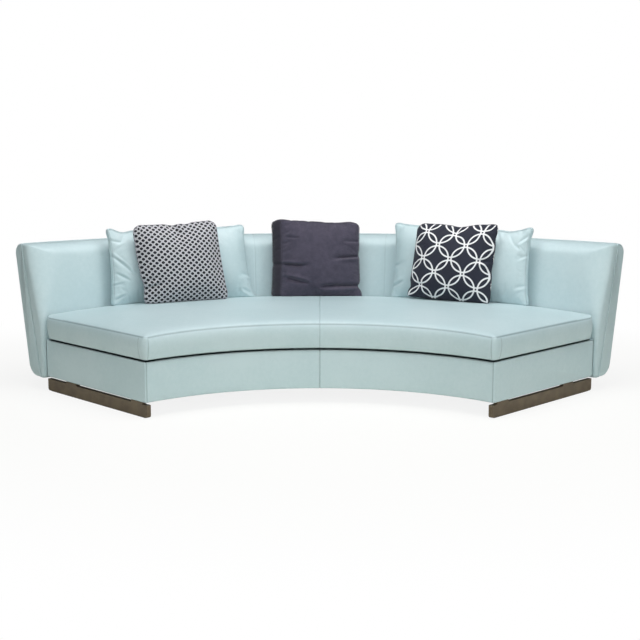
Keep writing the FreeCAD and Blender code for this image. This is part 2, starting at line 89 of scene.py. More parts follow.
def marks(low, high, spacing, seams=(), ends=(0,)):
    # places from low to high, closer together at seams and at both ends
    places = {low + step for step in ends} | {high - step for step in ends}
    for seam in seams:
        places |= {seam - step for step in seamSteps} | {seam + step for step in seamSteps}
    fixed = np.array(sorted(place for place in places if low <= place <= high))
    count = max(2, round((high - low) / spacing))
    free = [
        place
        for place in np.linspace(low, high, count + 1)
        if np.abs(fixed - place).min() > 0.45 * spacing
        and low + max(ends) < place < high - max(ends)
    ]
    return np.array(sorted(list(fixed) + free))


def seamGroove(distance, depth, width=0.0024):
    # a stitched seam pulls a narrow groove, and the leather swells softly beside it
    valley = np.exp(-((distance / width) ** 2))
    shoulder = np.exp(-(((np.abs(distance) - 3 * width) / (1.6 * width)) ** 2))
    return depth * (valley - 0.35 * shoulder)


def roundedSection(corners, arcSteps=6, sideSteps=6):
    # closed outline through corners of (across, up, radius of the corner)
    outline = []
    count = len(corners)
    for index, (x, y, radius) in enumerate(corners):
        here = np.array([x, y])
        before = np.array(corners[index - 1][:2]) - here
        after = np.array(corners[(index + 1) % count][:2]) - here
        before /= np.linalg.norm(before)
        after /= np.linalg.norm(after)
        half = math.acos(np.clip(before @ after, -1, 1)) / 2
        middle = here + (before + after) / np.linalg.norm(before + after) * radius / math.sin(half)
        start = here + before * radius / math.tan(half) - middle
        end = here + after * radius / math.tan(half) - middle
        turn = math.atan2(start[0] * end[1] - start[1] * end[0], start @ end)
        for step in np.linspace(0, 1, arcSteps + 1):
            angle = turn * step
            cosine, sine = math.cos(angle), math.sin(angle)
            spin = np.array([[cosine, -sine], [sine, cosine]])
            outline.append(middle + spin @ start)
    full = []
    for index, point in enumerate(outline):
        full.append(point)
        if index % (arcSteps + 1) == arcSteps:
            following = outline[(index + 1) % len(outline)]
            full += [
                point + (following - point) * step
                for step in np.linspace(0, 1, sideSteps + 2)[1:-1]
            ]
    return np.array(full)


def outwardNormals(outline):
    # unit normals of a closed outline in its own plane, pointing out of it
    along = np.roll(outline, -1, axis=0) - np.roll(outline, 1, axis=0)
    along /= np.maximum(np.linalg.norm(along, axis=1, keepdims=True), 1e-9)
    normals = np.stack([along[:, 1], -along[:, 0]], axis=1)
    x, y = outline.T
    area = (x * np.roll(y, -1) - np.roll(x, -1) * y).sum()
    return normals if area > 0 else -normals


def added(name, data):
    piece = bpy.data.objects.new(name, data)
    bpy.context.scene.collection.objects.link(piece)
    return piece


def makeObject(name, vertices, faces, material, uv=None):
    mesh = bpy.data.meshes.new(name)
    mesh.from_pydata(vertices.tolist(), [], faces)
    if uv is not None:
        layer = mesh.uv_layers.new(name="cloth")
        layer.data.foreach_set("uv", uv.reshape(-1).astype(np.float32))
    mesh.materials.append(material)
    shape = bmesh.new()
    shape.from_mesh(mesh)
    bmesh.ops.recalc_face_normals(shape, faces=shape.faces)
    shape.to_mesh(mesh)
    shape.free()
    mesh.polygons.foreach_set("use_smooth", [True] * len(mesh.polygons))
    return added(name, mesh)


def markSeamsAndPaintedShade(piece, strength):
    # how far each point lies in a seam line or in painted shade, for the finish to read
    layer = piece.data.attributes.new("seam", "FLOAT", "POINT")
    layer.data.foreach_set("value", np.asarray(strength, dtype=np.float32).reshape(-1))


def seamShade(distance, width=0.0022):
    return np.exp(-((distance / width) ** 2))


def sweptPiece(name, loops, material):
    # closed outlines one after the other round the arc, with a flat cap at each end
    count, corners = loops.shape[:2]
    faces = []
    for column in range(count - 1):
        first, second = column * corners, (column + 1) * corners
        for corner in range(corners):
            following = (corner + 1) % corners
            faces.append((first + corner, first + following, second + following, second + corner))
    faces.append(tuple(range(corners))[::-1])
    faces.append(tuple((count - 1) * corners + corner for corner in range(corners)))
    return makeObject(name, loops.reshape(-1, 3), faces, material)


def arcStations(endAngle, reach, spacing, seams=(), ends=(0,)):
    # angles in degrees from end to end, and each one's distance from the nearer end
    half = math.radians(endAngle) * reach
    places = marks(-half, half, spacing, seams, ends)
    return np.degrees(places / reach), half - np.abs(places), places


# ---- materials ----
class Wire:
    # a socket's value, so that shader maths reads as an expression
    def __init__(self, finish, socket):
        self.finish, self.socket = finish, socket

    def math(self, operation, *others):
        values = {index: value for index, value in enumerate((self, *others))}
        return self.finish.node("Math", {"operation": operation}, values)

    def __add__(self, other):
        return self.math("ADD", other)

    def __sub__(self, other):
        return self.math("SUBTRACT", other)

    def __rsub__(self, other):
        return (self * -1).math("ADD", other)

    def __mul__(self, other):
        return self.math("MULTIPLY", other)

    def __pow__(self, other):
        return self.math("POWER", other)

    __radd__ = __add__
    __rmul__ = __mul__

    def fade(self, low, high):
        # 0 at low, 1 at high, smooth between
        return self.finish.node(
            "MapRange",
            {"interpolation_type": "SMOOTHSTEP"},
            {"Value": self, "From Min": low, "From Max": high},
        )


class Finish:
    # the node tree of a new material, or of a new world
    def __init__(self, name, kind="materials"):
        self.owner = getattr(bpy.data, kind).new(name)
        self.owner.use_nodes = True
        self.tree = self.owner.node_tree
        self.tree.nodes.clear()

    def node(self, kind, settings=None, inputs=None, output=0):
        made = self.tree.nodes.new("ShaderNode" + kind)
        for key, value in (settings or {}).items():
            setattr(made, key, value)
        for key, value in (inputs or {}).items():
            if isinstance(value, Wire):
                self.tree.links.new(value.socket, made.inputs[key])
            else:
                made.inputs[key].default_value = value
        return Wire(self, made.outputs[output]) if len(made.outputs) else None

    def noise(self, place, scale, detail=2.0, roughness=0.5):
        inputs = {"Vector": place, "Scale": scale, "Detail": detail, "Roughness": roughness}
        return self.node("TexNoise", None, inputs)

    def stretched(self, place, *scales, turn=0, start=(0, 0, 0)):
        inputs = {"Vector": place, "Location": start, "Rotation": (0, 0, turn), "Scale": scales}
        return self.node("Mapping", None, inputs)

    def tones(self, factor, low, high, dark, light):
        # a soft change between two colours as the factor passes from low to high
        return self.blend(factor.fade(low, high), colour(*dark), colour(*light))

    def blend(self, factor, one, other):
        # mixes two colours
        return self.node("Mix", {"data_type": "RGBA"}, {0: factor, 6: one, 7: other}, output=2)

    def split(self, vector):
        return [self.node("SeparateXYZ", None, {0: vector}, output=axis) for axis in range(3)]

    def bump(self, height, strength, distance, below=None):
        inputs = {"Height": height, "Strength": strength, "Distance": distance}
        if below:
            inputs["Normal"] = below
        return self.node("Bump", None, inputs)

    def done(self, **inputs):
        named = {key.replace("_", " "): value for key, value in inputs.items()}
        surface = self.node("BsdfPrincipled", None, named)
        self.node("OutputMaterial", None, {"Surface": surface})
        return self.owner

    def place(self):
        return self.node("TexCoord", output=3)

    def cloth(self):
        return self.node("TexCoord", output=2)


def colour(red, green, blue):
    return (red, green, blue, 1)


def darker(tint, share):
    return tuple(share * part for part in tint)


def inSeamsAndPaintedShade(finish, colours, dark):
    # seam lines, and the painted shade marked with them, take the dark colour
    seam = finish.node("Attribute", {"attribute_name": "seam"}, output=2)
    return finish.blend(seam, colours, colour(*dark))


leatherLook = {
    "colour": (0.55, 0.685, 0.715),
    "shade": (0.50, 0.645, 0.675),
    # the dark colour of seam lines, also used for the painted shadow along the foot of the seat
    # cushion
    "seam": (0.19, 0.27, 0.29),
    "grainScale": 620,
    "roughness": 0.44,
}


def leatherFinish(name, look):
    finish = Finish(name)
    place = finish.place()
    cloudy = finish.noise(place, 3.1, 3)
    mottled = finish.noise(place, 46, 4, 0.6)
    edges = {"feature": "DISTANCE_TO_EDGE"}
    cells = finish.node("TexVoronoi", edges, {"Vector": place, "Scale": look["grainScale"]})
    creases = cells.fade(0.0, 0.16)
    tone = cloudy * 0.6 + mottled * 0.4
    colours = finish.tones(tone, 0.36, 0.64, look["shade"], look["colour"])
    colours = finish.blend((1 - creases) * 0.10, colours, colour(0.33, 0.45, 0.48))
    colours = inSeamsAndPaintedShade(finish, colours, look["seam"])
    fine = finish.bump(creases, 0.16, 0.0004)
    soft = finish.bump(finish.noise(place, 17, 3), 0.22, 0.004, fine)
    return finish.done(
        Base_Color=colours,
        Roughness=look["roughness"] + (mottled - 0.5) * 0.16 + (1 - creases) * 0.05,
        Coat_Weight=0.14,
        Coat_Roughness=0.32,
        Normal=soft,
    )


def wovenBump(finish, cloth, threads, strength, below=None):
    # plain weave: threads across and along that pass over each other
    across, along, _ = finish.split(cloth)
    waves = [(way * (threads * math.pi)).math("SINE") for way in (across, along)]
    return finish.bump(waves[0] * waves[1], strength, 0.0004, below)


def plainFinish(name):
    finish = Finish(name)
    cloth, place = finish.cloth(), finish.place()
    slubs = finish.noise(finish.stretched(cloth, 40, 900, 1), 1.0, 3)
    felted = finish.noise(place, 28, 4, 0.6)
    tone = slubs * 0.5 + felted * 0.5
    colours = finish.tones(tone, 0.35, 0.66, (0.040, 0.036, 0.062), (0.066, 0.058, 0.090))
    return finish.done(
        # the dark colour of seam lines, also used for the painted shade on the middle throw's left
        # gusset
        Base_Color=inSeamsAndPaintedShade(finish, colours, (0.012, 0.010, 0.02)),
        Roughness=0.86 + (felted - 0.5) * 0.1,
        Sheen_Weight=0.22,
        Sheen_Roughness=0.5,
        Normal=wovenBump(finish, cloth, 700, 0.5, finish.bump(slubs, 0.25, 0.0006)),
    )


basketWeave = {"pitch": 0.0340, "rise": 0.0302, "dot": 0.365}


def basketFinish(name, look):
    # two families of slanting light bands, with a dark rounded lozenge in each gap
    finish = Finish(name)
    cloth = finish.cloth()
    across, along, _ = finish.split(cloth)
    right = across * (1 / look["pitch"]) + along * (1 / look["rise"])
    left = across * (1 / look["pitch"]) - along * (1 / look["rise"])
    first = (right.math("FRACT") - 0.5).math("ABSOLUTE")
    second = (left.math("FRACT") - 0.5).math("ABSOLUTE")
    lozenge = (first**3 + second**3) ** (1 / 3)
    gap = 1 - lozenge.fade(look["dot"] - 0.03, look["dot"] + 0.03)
    edges = first.math("MAXIMUM", second).fade(0.455, 0.492)
    threads = finish.noise(finish.stretched(cloth, 900, 900, 1), 1.0, 2)
    light = finish.tones(threads, 0.3, 0.7, (0.52, 0.525, 0.555), (0.67, 0.675, 0.70))
    banded = finish.blend(edges * 0.75, light, colour(0.20, 0.19, 0.25))
    colours = finish.blend(gap, banded, colour(0.006, 0.007, 0.013))
    return finish.done(
        Base_Color=colours,
        Roughness=0.84 + (threads - 0.5) * 0.1,
        Sheen_Weight=0.12,
        Sheen_Roughness=0.5,
        Normal=wovenBump(finish, cloth, 900, 0.4, finish.bump(gap, -0.3, 0.0006)),
    )


trellis = {"cell": 0.118, "ring": 0.63, "line": 0.0088}


def trellisFinish(name, look):
    # circles round every crossing of a square grid, each large enough to cut the next
    finish = Finish(name)
    cloth = finish.cloth()
    cells = 1 / look["cell"]
    turned = finish.stretched(cloth, cells, cells, 1, turn=math.radians(45), start=(0.5, 0.5, 0))
    across, along, _ = finish.split(turned)
    x = (across.math("FRACT") - 0.5).math("ABSOLUTE")
    y = (along.math("FRACT") - 0.5).math("ABSOLUTE")
    lines = None
    for fromX, fromY in ((x, y), (1 - x, y), (x, 1 - y)):
        reach = (fromX**2 + fromY**2) ** 0.5
        ring = (reach - look["ring"]).math("ABSOLUTE")
        lines = lines.math("MINIMUM", ring) if lines else ring
    half = look["line"] / look["cell"] / 2
    line = 1 - lines.fade(half * 0.8, half * 1.2)
    threads = finish.noise(finish.stretched(cloth, 900, 900, 1), 1.0, 2)
    dark = finish.tones(threads, 0.3, 0.7, (0.009, 0.011, 0.024), (0.018, 0.022, 0.042))
    light = finish.tones(threads, 0.3, 0.7, (0.78, 0.79, 0.80), (0.93, 0.93, 0.94))
    colours = finish.blend(line, dark, light)
    return finish.done(
        Base_Color=colours,
        Roughness=0.82 + (threads - 0.5) * 0.1,
        Sheen_Weight=0.10,
        Sheen_Roughness=0.5,
        Normal=wovenBump(finish, cloth, 900, 0.4, finish.bump(line, 0.35, 0.0005)),
    )


def threadFinish(name, tint):
    finish = Finish(name)
    twist = finish.noise(finish.place(), 1600, 2)
    colours = finish.tones(twist, 0.35, 0.65, darker(tint, 0.8), tint)
    return finish.done(Base_Color=colours, Roughness=0.6 + (twist - 0.5) * 0.2)


def metalFinish(name, tint, dark, roughness, metallic):
    # satin metal with fine brushing along its length and slight clouding
    finish = Finish(name)
    place = finish.place()
    brushed = finish.noise(finish.stretched(place, 8, 8, 1500), 1.0, 3)
    cloudy = finish.noise(place, 14, 4)
    colours = finish.tones(cloudy, 0.3, 0.7, dark, tint)
    return finish.done(
        Base_Color=colours,
        Metallic=metallic,
        Roughness=roughness + (cloudy - 0.5) * 0.16 + (brushed - 0.5) * 0.08,
        Normal=finish.bump(brushed, 0.12, 0.0002),
    )


def plywoodFinish(name):
    finish = Finish(name)
    place = finish.place()
    grain = finish.noise(finish.stretched(place, 5, 5, 90), 1.6, 5, 0.6)
    plies = (finish.split(place)[2] * 2300).math("SINE").fade(-0.4, 0.6)
    colours = finish.tones(grain, 0.32, 0.68, (0.50, 0.36, 0.21), (0.72, 0.57, 0.38))
    colours = finish.blend(plies * 0.12, colours, colour(0.35, 0.23, 0.12))
    rough = 0.62 + (grain - 0.5) * 0.2
    return finish.done(Base_Color=colours, Roughness=rough, Normal=finish.bump(grain, 0.2, 0.0006))


def foamFinish(name, tint, scale):
    finish = Finish(name)
    pores = finish.noise(finish.place(), scale, 4, 0.7)
    colours = finish.tones(pores, 0.35, 0.62, darker(tint, 0.78), tint)
    rough = 0.9 + (pores - 0.5) * 0.1
    return finish.done(Base_Color=colours, Roughness=rough, Normal=finish.bump(pores, 0.4, 0.001))


def clothFinish(name, tint, scale, strength):
    # cloth whose threads run along X and Y: webbing and dust cloth
    finish = Finish(name)
    place = finish.place()
    across, along, _ = finish.split(place)
    weave = (across * scale).math("SINE") * (along * scale).math("SINE")
    fluff = finish.noise(place, 120, 4)
    colours = finish.tones(weave, -0.6, 0.6, darker(tint, 0.6), tint)
    raised = finish.bump(weave + fluff, strength, 0.0005)
    return finish.done(Base_Color=colours, Roughness=0.85 + (fluff - 0.5) * 0.2, Normal=raised)


def plasticFinish(name):
    finish = Finish(name)
    speckle = finish.noise(finish.place(), 380, 3)
    colours = finish.tones(speckle, 0.3, 0.7, (0.028, 0.028, 0.031), (0.045, 0.045, 0.049))
    rough = 0.5 + (speckle - 0.5) * 0.2
    raised = finish.bump(speckle, 0.2, 0.0003)
    return finish.done(Base_Color=colours, Roughness=rough, Normal=raised)


finishes = {
    "leather": leatherFinish("leather", leatherLook),
    "foam": foamFinish("foam", (0.90, 0.87, 0.74), 300),
    "plywood": plywoodFinish("plywood"),
    "webbing": clothFinish("webbing", (0.16, 0.16, 0.17), 1600, 0.6),
    "dust_cloth": clothFinish("dust cloth", (0.05, 0.05, 0.055), 2600, 0.4),
    "bronze": metalFinish("bronze", (0.180, 0.137, 0.092), (0.130, 0.098, 0.066), 0.42, 0.55),
    "steel": metalFinish("steel", (0.58, 0.58, 0.59), (0.47, 0.47, 0.48), 0.38, 0.95),
    "glide": plasticFinish("glide"),
    "filling": foamFinish("filling", (0.88, 0.88, 0.86), 200),
    "weave_print": basketFinish("basket weave print", basketWeave),
    "plain_weave": plainFinish("plain weave"),
    "trellis_print": trellisFinish("trellis print", trellis),
}
thread = threadFinish("pale thread", (0.60, 0.72, 0.74))
for entry in frame["record"]["subparts"]:
    skin = nodes[entry["node"]].data.materials
    skin.clear()
    skin.append(finishes[entry["material_slot"]])
print("finishes made")


# ---- stitches and welts, as node trees that follow a path ----
def treeNode(tree, kind, settings=None, inputs=None):
    made = tree.nodes.new(kind)
    for key, value in (settings or {}).items():
        setattr(made, key, value)
    for key, value in (inputs or {}).items():
        if isinstance(value, bpy.types.NodeSocket):
            tree.links.new(value, made.inputs[key])
        else:
            made.inputs[key].default_value = value
    return made.outputs


def pathTree(name, sizes):
    # starts a tree whose input mesh is a path, with a named input for each size
    tree = bpy.data.node_groups.new(name, "GeometryNodeTree")
    sockets = tree.interface
    sockets.new_socket(name="Geometry", in_out="INPUT", socket_type="NodeSocketGeometry")
    for size, value in sizes.items():
        socket = sockets.new_socket(name=size, in_out="INPUT", socket_type="NodeSocketFloat")
        socket.default_value = value
    sockets.new_socket(name="Material", in_out="INPUT", socket_type="NodeSocketMaterial")
    sockets.new_socket(name="Geometry", in_out="OUTPUT", socket_type="NodeSocketGeometry")
    given = treeNode(tree, "NodeGroupInput")
    path = treeNode(tree, "GeometryNodeMeshToCurve", None, {0: given["Geometry"]})[0]
    return tree, given, path


def closedTree(tree, shape, material):
    # ends a tree: one smooth mesh with its material
    solid = treeNode(tree, "GeometryNodeRealizeInstances", None, {0: shape})[0]
    smooth = treeNode(tree, "GeometryNodeSetShadeSmooth", None, {0: solid})[0]
    inputs = {"Geometry": smooth, "Material": material}
    finished = treeNode(tree, "GeometryNodeSetMaterial", None, inputs)[0]
    treeNode(tree, "NodeGroupOutput", None, {0: finished})
    return tree


def stitchTree():
    sizes = {"Pitch": 0.008, "Length": 0.0055, "Thickness": 0.0007}
    tree, given, path = pathTree("stitches along a seam", sizes)
    spacing = {"Curve": path, "Length": given["Pitch"]}
    spots = treeNode(tree, "GeometryNodeResampleCurve", {"mode": "LENGTH"}, spacing)[0]
    tangent = treeNode(tree, "GeometryNodeInputTangent")[0]
    along = {"Vector": tangent}
    turn = treeNode(tree, "FunctionNodeAlignRotationToVector", {"axis": "Z"}, along)[0]
    beadSize = {"Segments": 5, "Rings": 4, "Radius": 0.5}
    bead = treeNode(tree, "GeometryNodeMeshUVSphere", None, beadSize)["Mesh"]
    sides = {"X": given["Thickness"], "Y": given["Thickness"], "Z": given["Length"]}
    size = treeNode(tree, "ShaderNodeCombineXYZ", None, sides)[0]
    placed = {"Points": spots, "Instance": bead, "Rotation": turn, "Scale": size}
    stitches = treeNode(tree, "GeometryNodeInstanceOnPoints", None, placed)[0]
    return closedTree(tree, stitches, given["Material"])


def weltTree():
    tree, given, path = pathTree("welt along a seam", {"Radius": 0.0022})
    section = {"Resolution": 8, "Radius": given["Radius"]}
    ring = treeNode(tree, "GeometryNodeCurvePrimitiveCircle", None, section)[0]
    swept = {"Curve": path, "Profile Curve": ring, "Fill Caps": True}
    tube = treeNode(tree, "GeometryNodeCurveToMesh", None, swept)[0]
    return closedTree(tree, tube, given["Material"])


trees = {"stitches": stitchTree(), "welt": weltTree()}


def alongPaths(name, kind, paths, body, slot, material, **sizes):
    # runs one of the trees on open paths of points, and keeps the result as a plain mesh
    points, edges = [], []
    for path in paths:
        first = len(points)
        points += [tuple(map(float, point)) for point in path]
        edges += [(first + step, first + step + 1) for step in range(len(path) - 1)]
    mesh = bpy.data.meshes.new(name + "_path")
    mesh.from_pydata(points, edges, [])
    guide = added(name + "_path", mesh)
    tree = trees[kind]
    modifier = guide.modifiers.new("tree", "NODES")
    modifier.node_group = tree
    values = dict(sizes, Material=material)
    for item in tree.interface.items_tree:
        if item.item_type == "SOCKET" and item.in_out == "INPUT" and item.name in values:
            modifier[item.identifier] = values[item.name]
    graph = bpy.context.evaluated_depsgraph_get()
    plain = bpy.data.meshes.new_from_object(guide.evaluated_get(graph), depsgraph=graph)
    guide.modifiers.remove(modifier)
    bpy.data.objects.remove(guide)
    plain.name = name
    piece = added(name, plain)
    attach(piece, body)


# ---- base box ----
base = {
    "low": 0.081,
    "high": 0.295,
    "corner": 0.009,
    "puff": 0.004,
    "seamDepth": 0.0016,
    "seamFromEnd": 0.010,
}


def buildBase():
    reach = plan["frontRadius"]
    half = math.radians(plan["baseEnd"]) * reach
    edge = base["corner"]
    seams = (0, half - base["seamFromEnd"], base["seamFromEnd"] - half)
    ends = (0, 0.0004, 0.0018, 0.004, 0.0066, 0.009)
    stations = arcStations(plan["baseEnd"], reach, 0.035, seams, ends)
    rear = plan["rearRadius"] - 0.001
    section = roundedSection(
        [
            (reach, base["low"], edge),
            (rear, base["low"], 0.002),
            (rear, base["high"], 0.002),
            (reach, base["high"], edge),
        ],
        sideSteps=12,
    )
    normals = outwardNormals(section)
    # the front swells a little between its top and bottom edges
    rise = np.clip((section[:, 1] - base["low"]) / (base["high"] - base["low"]), 0, 1)
    front = section[:, 0] < reach + edge
    swell = np.where(front, base["puff"] * np.sin(np.pi * rise) ** 0.6, 0)
    loops, shades = [], []
    for angle, distance, place in zip(*stations):
        shades.append(np.full(len(section), 0.75 * max(seamShade(place - seam) for seam in seams)))
        shift = -roundedBy(distance, edge * 0.9)
        shift -= sum(seamGroove(place - seam, base["seamDepth"]) for seam in seams)
        near = smoothStep(distance, 0, 0.10)
        moved = section + normals * (shift + swell * near)[:, None]
        loops.append(arcPoints(moved[:, 0], angle, moved[:, 1]))
    piece = sweptPiece("base", np.array(loops), finishes["leather"])
    markSeamsAndPaintedShade(piece, shades)
    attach(piece, "root")
    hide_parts("base_cover", "base_padding")
    stitchPaths = []
    heights = np.linspace(base["low"] + 0.006, base["high"] - 0.004, 28)
    for seam in seams:
        for side in (-1, 1) if seam == 0 else (-math.copysign(1, seam),):
            angle = math.degrees((seam + side * 0.0042) / reach)
            lift = base["puff"] * smoothStep(half - abs(seam), 0, 0.10)
            rise = (heights - base["low"]) / (base["high"] - base["low"])
            radius = reach - lift * np.sin(np.pi * rise) ** 0.6 - 0.0006
            stitchPaths.append(arcPoints(radius, angle, heights))
    alongPaths("base_stitches", "stitches", stitchPaths, "root", "leather", thread)


buildBase()
print("base made")


# ---- back: a pad in front, a shell behind, and a welt between them ----
back = {
    "low": 0.076,
    "high": 0.822,
    "leanStart": 0.370,
    "lean": 9.5,
    "partingFoot": 0.027,
    "partingLean": 12,
    "shellFoot": 0.141,
    "shellLean": 9.4,
    "topRoll": 0.078,
    "endRollLow": 0.022,
    "endRollHigh": 0.080,
    "endRollReach": 2.2,
    "seams": (-0.405, 0, 0.405),
    "shellTopRadius": 0.056,
    "shellFootRadius": 0.080,
    "endEdge": 0.010,
    "topEdge": 0.016,
    "weltRadius": 0.0023,
    "gap": 0.0012,
    "shellSeams": (0, 1.02, -1.02),
}


def slope(degrees):
    return math.tan(math.radians(degrees))


def padFront(height):
    # radius of the leaning front, with a soft bend where the lean starts
    above = softMax(np.asarray(height) - back["leanStart"], 0.0, 0.05)
    return plan["rearRadius"] + 0.0006 + above * slope(back["lean"])


def parting(height):
    rise = height - back["low"]
    return plan["rearRadius"] + back["partingFoot"] + rise * slope(back["partingLean"])


def shellFace(height):
    rise = height - back["low"]
    return plan["rearRadius"] + back["shellFoot"] + rise * slope(back["shellLean"])


def endRoll(height):
    share = smoothStep(height, 0.16, 0.78) * 0.5 + np.clip((height - 0.295) / 0.48, 0, 1) * 0.5
    return back["endRollLow"] + (back["endRollHigh"] - back["endRollLow"]) * share


def padSection(fromEnd):
    rolling = back["high"] - back["topRoll"]
    straight = np.linspace(back["low"], rolling, 40)
    turning = rolling + back["topRoll"] * np.sin(np.radians(np.linspace(5, 90, 18)))
    heights = np.concatenate([straight, turning])
    topRecess = roundedBy(back["high"] - heights, back["topRoll"])
    endRadius = endRoll(heights)
    # the end roll is wider along the arc than it is deep, most of all at the top
    reach = endRadius * (1 + (back["endRollReach"] - 1) * smoothStep(heights, 0.3, 0.75))
    inside = np.clip(1 - fromEnd / reach, 0, 1)
    endRecess = endRadius * (1 - np.sqrt(1 - inside**2))
    front = padFront(heights) + softMax(topRecess, endRecess, 0.004)
    rear = parting(heights) - back["gap"]
    front = np.minimum(front, rear - 0.002)
    crest = np.linspace(front[-1], rear[-1], 8)[1:-1]
    crestHeight = back["high"] + 0.002 * np.sin(np.linspace(0, np.pi, 8)[1:-1])
    behind = np.linspace(back["high"], back["low"], 30)
    behind = behind - roundedBy(back["high"] - behind, 0.004) * 0.2
    radius = np.concatenate([front, crest, parting(behind) - back["gap"]])
    height = np.concatenate([heights, crestHeight, behind])
    return np.stack([radius, height], axis=1), len(heights)


def buildPad():
    ends = (0, 0.0006, 0.002, 0.0045, 0.008, 0.012, 0.017, 0.023, 0.030, 0.038)
    ends += (0.047, 0.057, 0.068, 0.080, 0.092, 0.105, 0.120, 0.138, 0.160, 0.185)
    seams = back["seams"]
    stations = arcStations(plan["backEnd"], plan["backReach"], 0.032, seams, ends)
    loops, shades = [], []
    for angle, distance, place in zip(*stations):
        section, count = padSection(distance)
        normals = outwardNormals(section)
        shades.append(np.full(len(section), 0.16 * max(seamShade(place - seam) for seam in seams)))
        shift = np.full(len(section), -sum(seamGroove(place - seam, 0.0009) for seam in seams))
        shift[count:] -= roundedBy(distance, 0.005)
        section = section + normals * shift[:, None]
        # the top edge is rounded off towards the end face
        drop = roundedBy(distance, back["topEdge"]) * smoothStep(section[:, 1], 0.74, back["high"])
        section[:, 1] -= drop
        loops.append(arcPoints(section[:, 0], angle, section[:, 1]))
    piece = sweptPiece("back_rest", np.array(loops), finishes["leather"])
    markSeamsAndPaintedShade(piece, shades)
    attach(piece, "root")
    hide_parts("back_pad")


def rolledEdge(height, radius, first, last, count):
    # rounded edge that meets the leaning face, and the radius at its centre
    centre = shellFace(height) - radius / math.cos(math.radians(back["shellLean"]))
    angles = np.radians(np.linspace(first, last, count))
    edge = [(centre + radius * math.sin(a), height + radius * math.cos(a)) for a in angles]
    return centre, edge


def shellSection():
    leaning = 90 + back["shellLean"]
    top, foot = back["shellTopRadius"], back["shellFootRadius"]
    topCentre, topEdge = rolledEdge(back["high"] - top, top, 0, leaning, 14)
    footCentre, footEdge = rolledEdge(back["low"] + foot, foot, leaning, 180, 12)
    start = parting(back["high"]) + back["gap"]
    end = parting(back["low"]) + back["gap"]
    across = topCentre - parting(back["high"])
    points = [(start + step * across, back["high"]) for step in np.linspace(0, 1, 7)[:-1]]
    points += topEdge
    faceHeights = np.linspace(topEdge[-1][1], footEdge[0][1], 20)[1:-1]
    points += [(shellFace(height), height) for height in faceHeights]
    points += footEdge
    points += [
        (footCentre + step * (end - footCentre), back["low"]) for step in np.linspace(0, 1, 5)[1:]
    ]
    frontHeights = np.linspace(back["low"], back["high"], 24)[1:-1]
    points += [(parting(height) + back["gap"], height) for height in frontHeights]
    return np.array(points)


def buildShell():
    edge = back["endEdge"]
    ends = (0, 0.0004, 0.0015, 0.003, 0.005, 0.0075, 0.010, 0.014)
    seams = back["shellSeams"]
    stations = arcStations(plan["backEnd"], plan["backReach"], 0.032, seams, ends)
    section = shellSection()
    normals = outwardNormals(section)
    behind = section[:, 0] - parting(section[:, 1])
    outer = behind > 0.004
    loops, shades = [], []
    for angle, distance, place in zip(*stations):
        shades.append(np.full(len(section), 0.4 * max(seamShade(place - seam) for seam in seams)))
        shift = -roundedBy(distance, edge) * np.where(outer, 1.0, 0.4)
        shift = shift - sum(seamGroove(place - seam, 0.0014) for seam in seams) * outer
        moved = section + normals * shift[:, None]
        loops.append(arcPoints(moved[:, 0], angle, moved[:, 1]))
    piece = sweptPiece("back_shell", np.array(loops), finishes["leather"])
    markSeamsAndPaintedShade(piece, shades)
    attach(piece, "root")
    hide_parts("back_outer_cover")
    line = (section + normals * 0.0004)[behind > 0.03]
    paths = []
    for seam in seams:
        for side in (-1, 1):
            angle = math.degrees((seam + side * 0.0045) / plan["backReach"])
            paths.append(arcPoints(line[:, 0], angle, line[:, 1]))
    alongPaths("back_stitches", "stitches", paths, "root", "leather", thread, Pitch=0.009)


def buildWelt():
    above = 0.0004
    end = plan["backEnd"] + math.degrees(above / plan["backReach"])
    corner = back["topEdge"]
    legs = []
    for side in (-1, 1):
        leg = []
        for height in np.linspace(back["low"] + 0.004, back["high"] - corner, 40):
            leg.append(arcPoints(parting(height), side * end, height))
        for angle in np.radians(np.linspace(15, 90, 6)):
            height = back["high"] - corner * (1 - math.sin(angle))
            inward = math.degrees(corner * (1 - math.cos(angle)) / plan["backReach"])
            lifted = height + above * math.sin(angle)
            leg.append(arcPoints(parting(height), side * (end - inward), lifted))
        legs.append(leg)
    crest = [
        arcPoints(parting(back["high"]), angle, back["high"] + above)
        for angle in np.linspace(-end + 0.9, end - 0.9, 220)
    ]
    path = legs[0] + crest + legs[1][::-1]
    welt, radius = finishes["leather"], back["weltRadius"]
    alongPaths("back_welt", "welt", [path], "root", "leather", welt, Radius=radius)


buildPad()
buildShell()
buildWelt()
print("back made")


# ---- cushions: two panels whose borders match, and the boxing between them ----
def borderOf(columns, rows):
    loop = [(column, 0) for column in range(columns)]
    loop += [(columns - 1, row) for row in range(1, rows)]
    loop += [(column, rows - 1) for column in range(columns - 2, -1, -1)]
    loop += [(0, row) for row in range(rows - 2, 0, -1)]
    return np.array(loop)


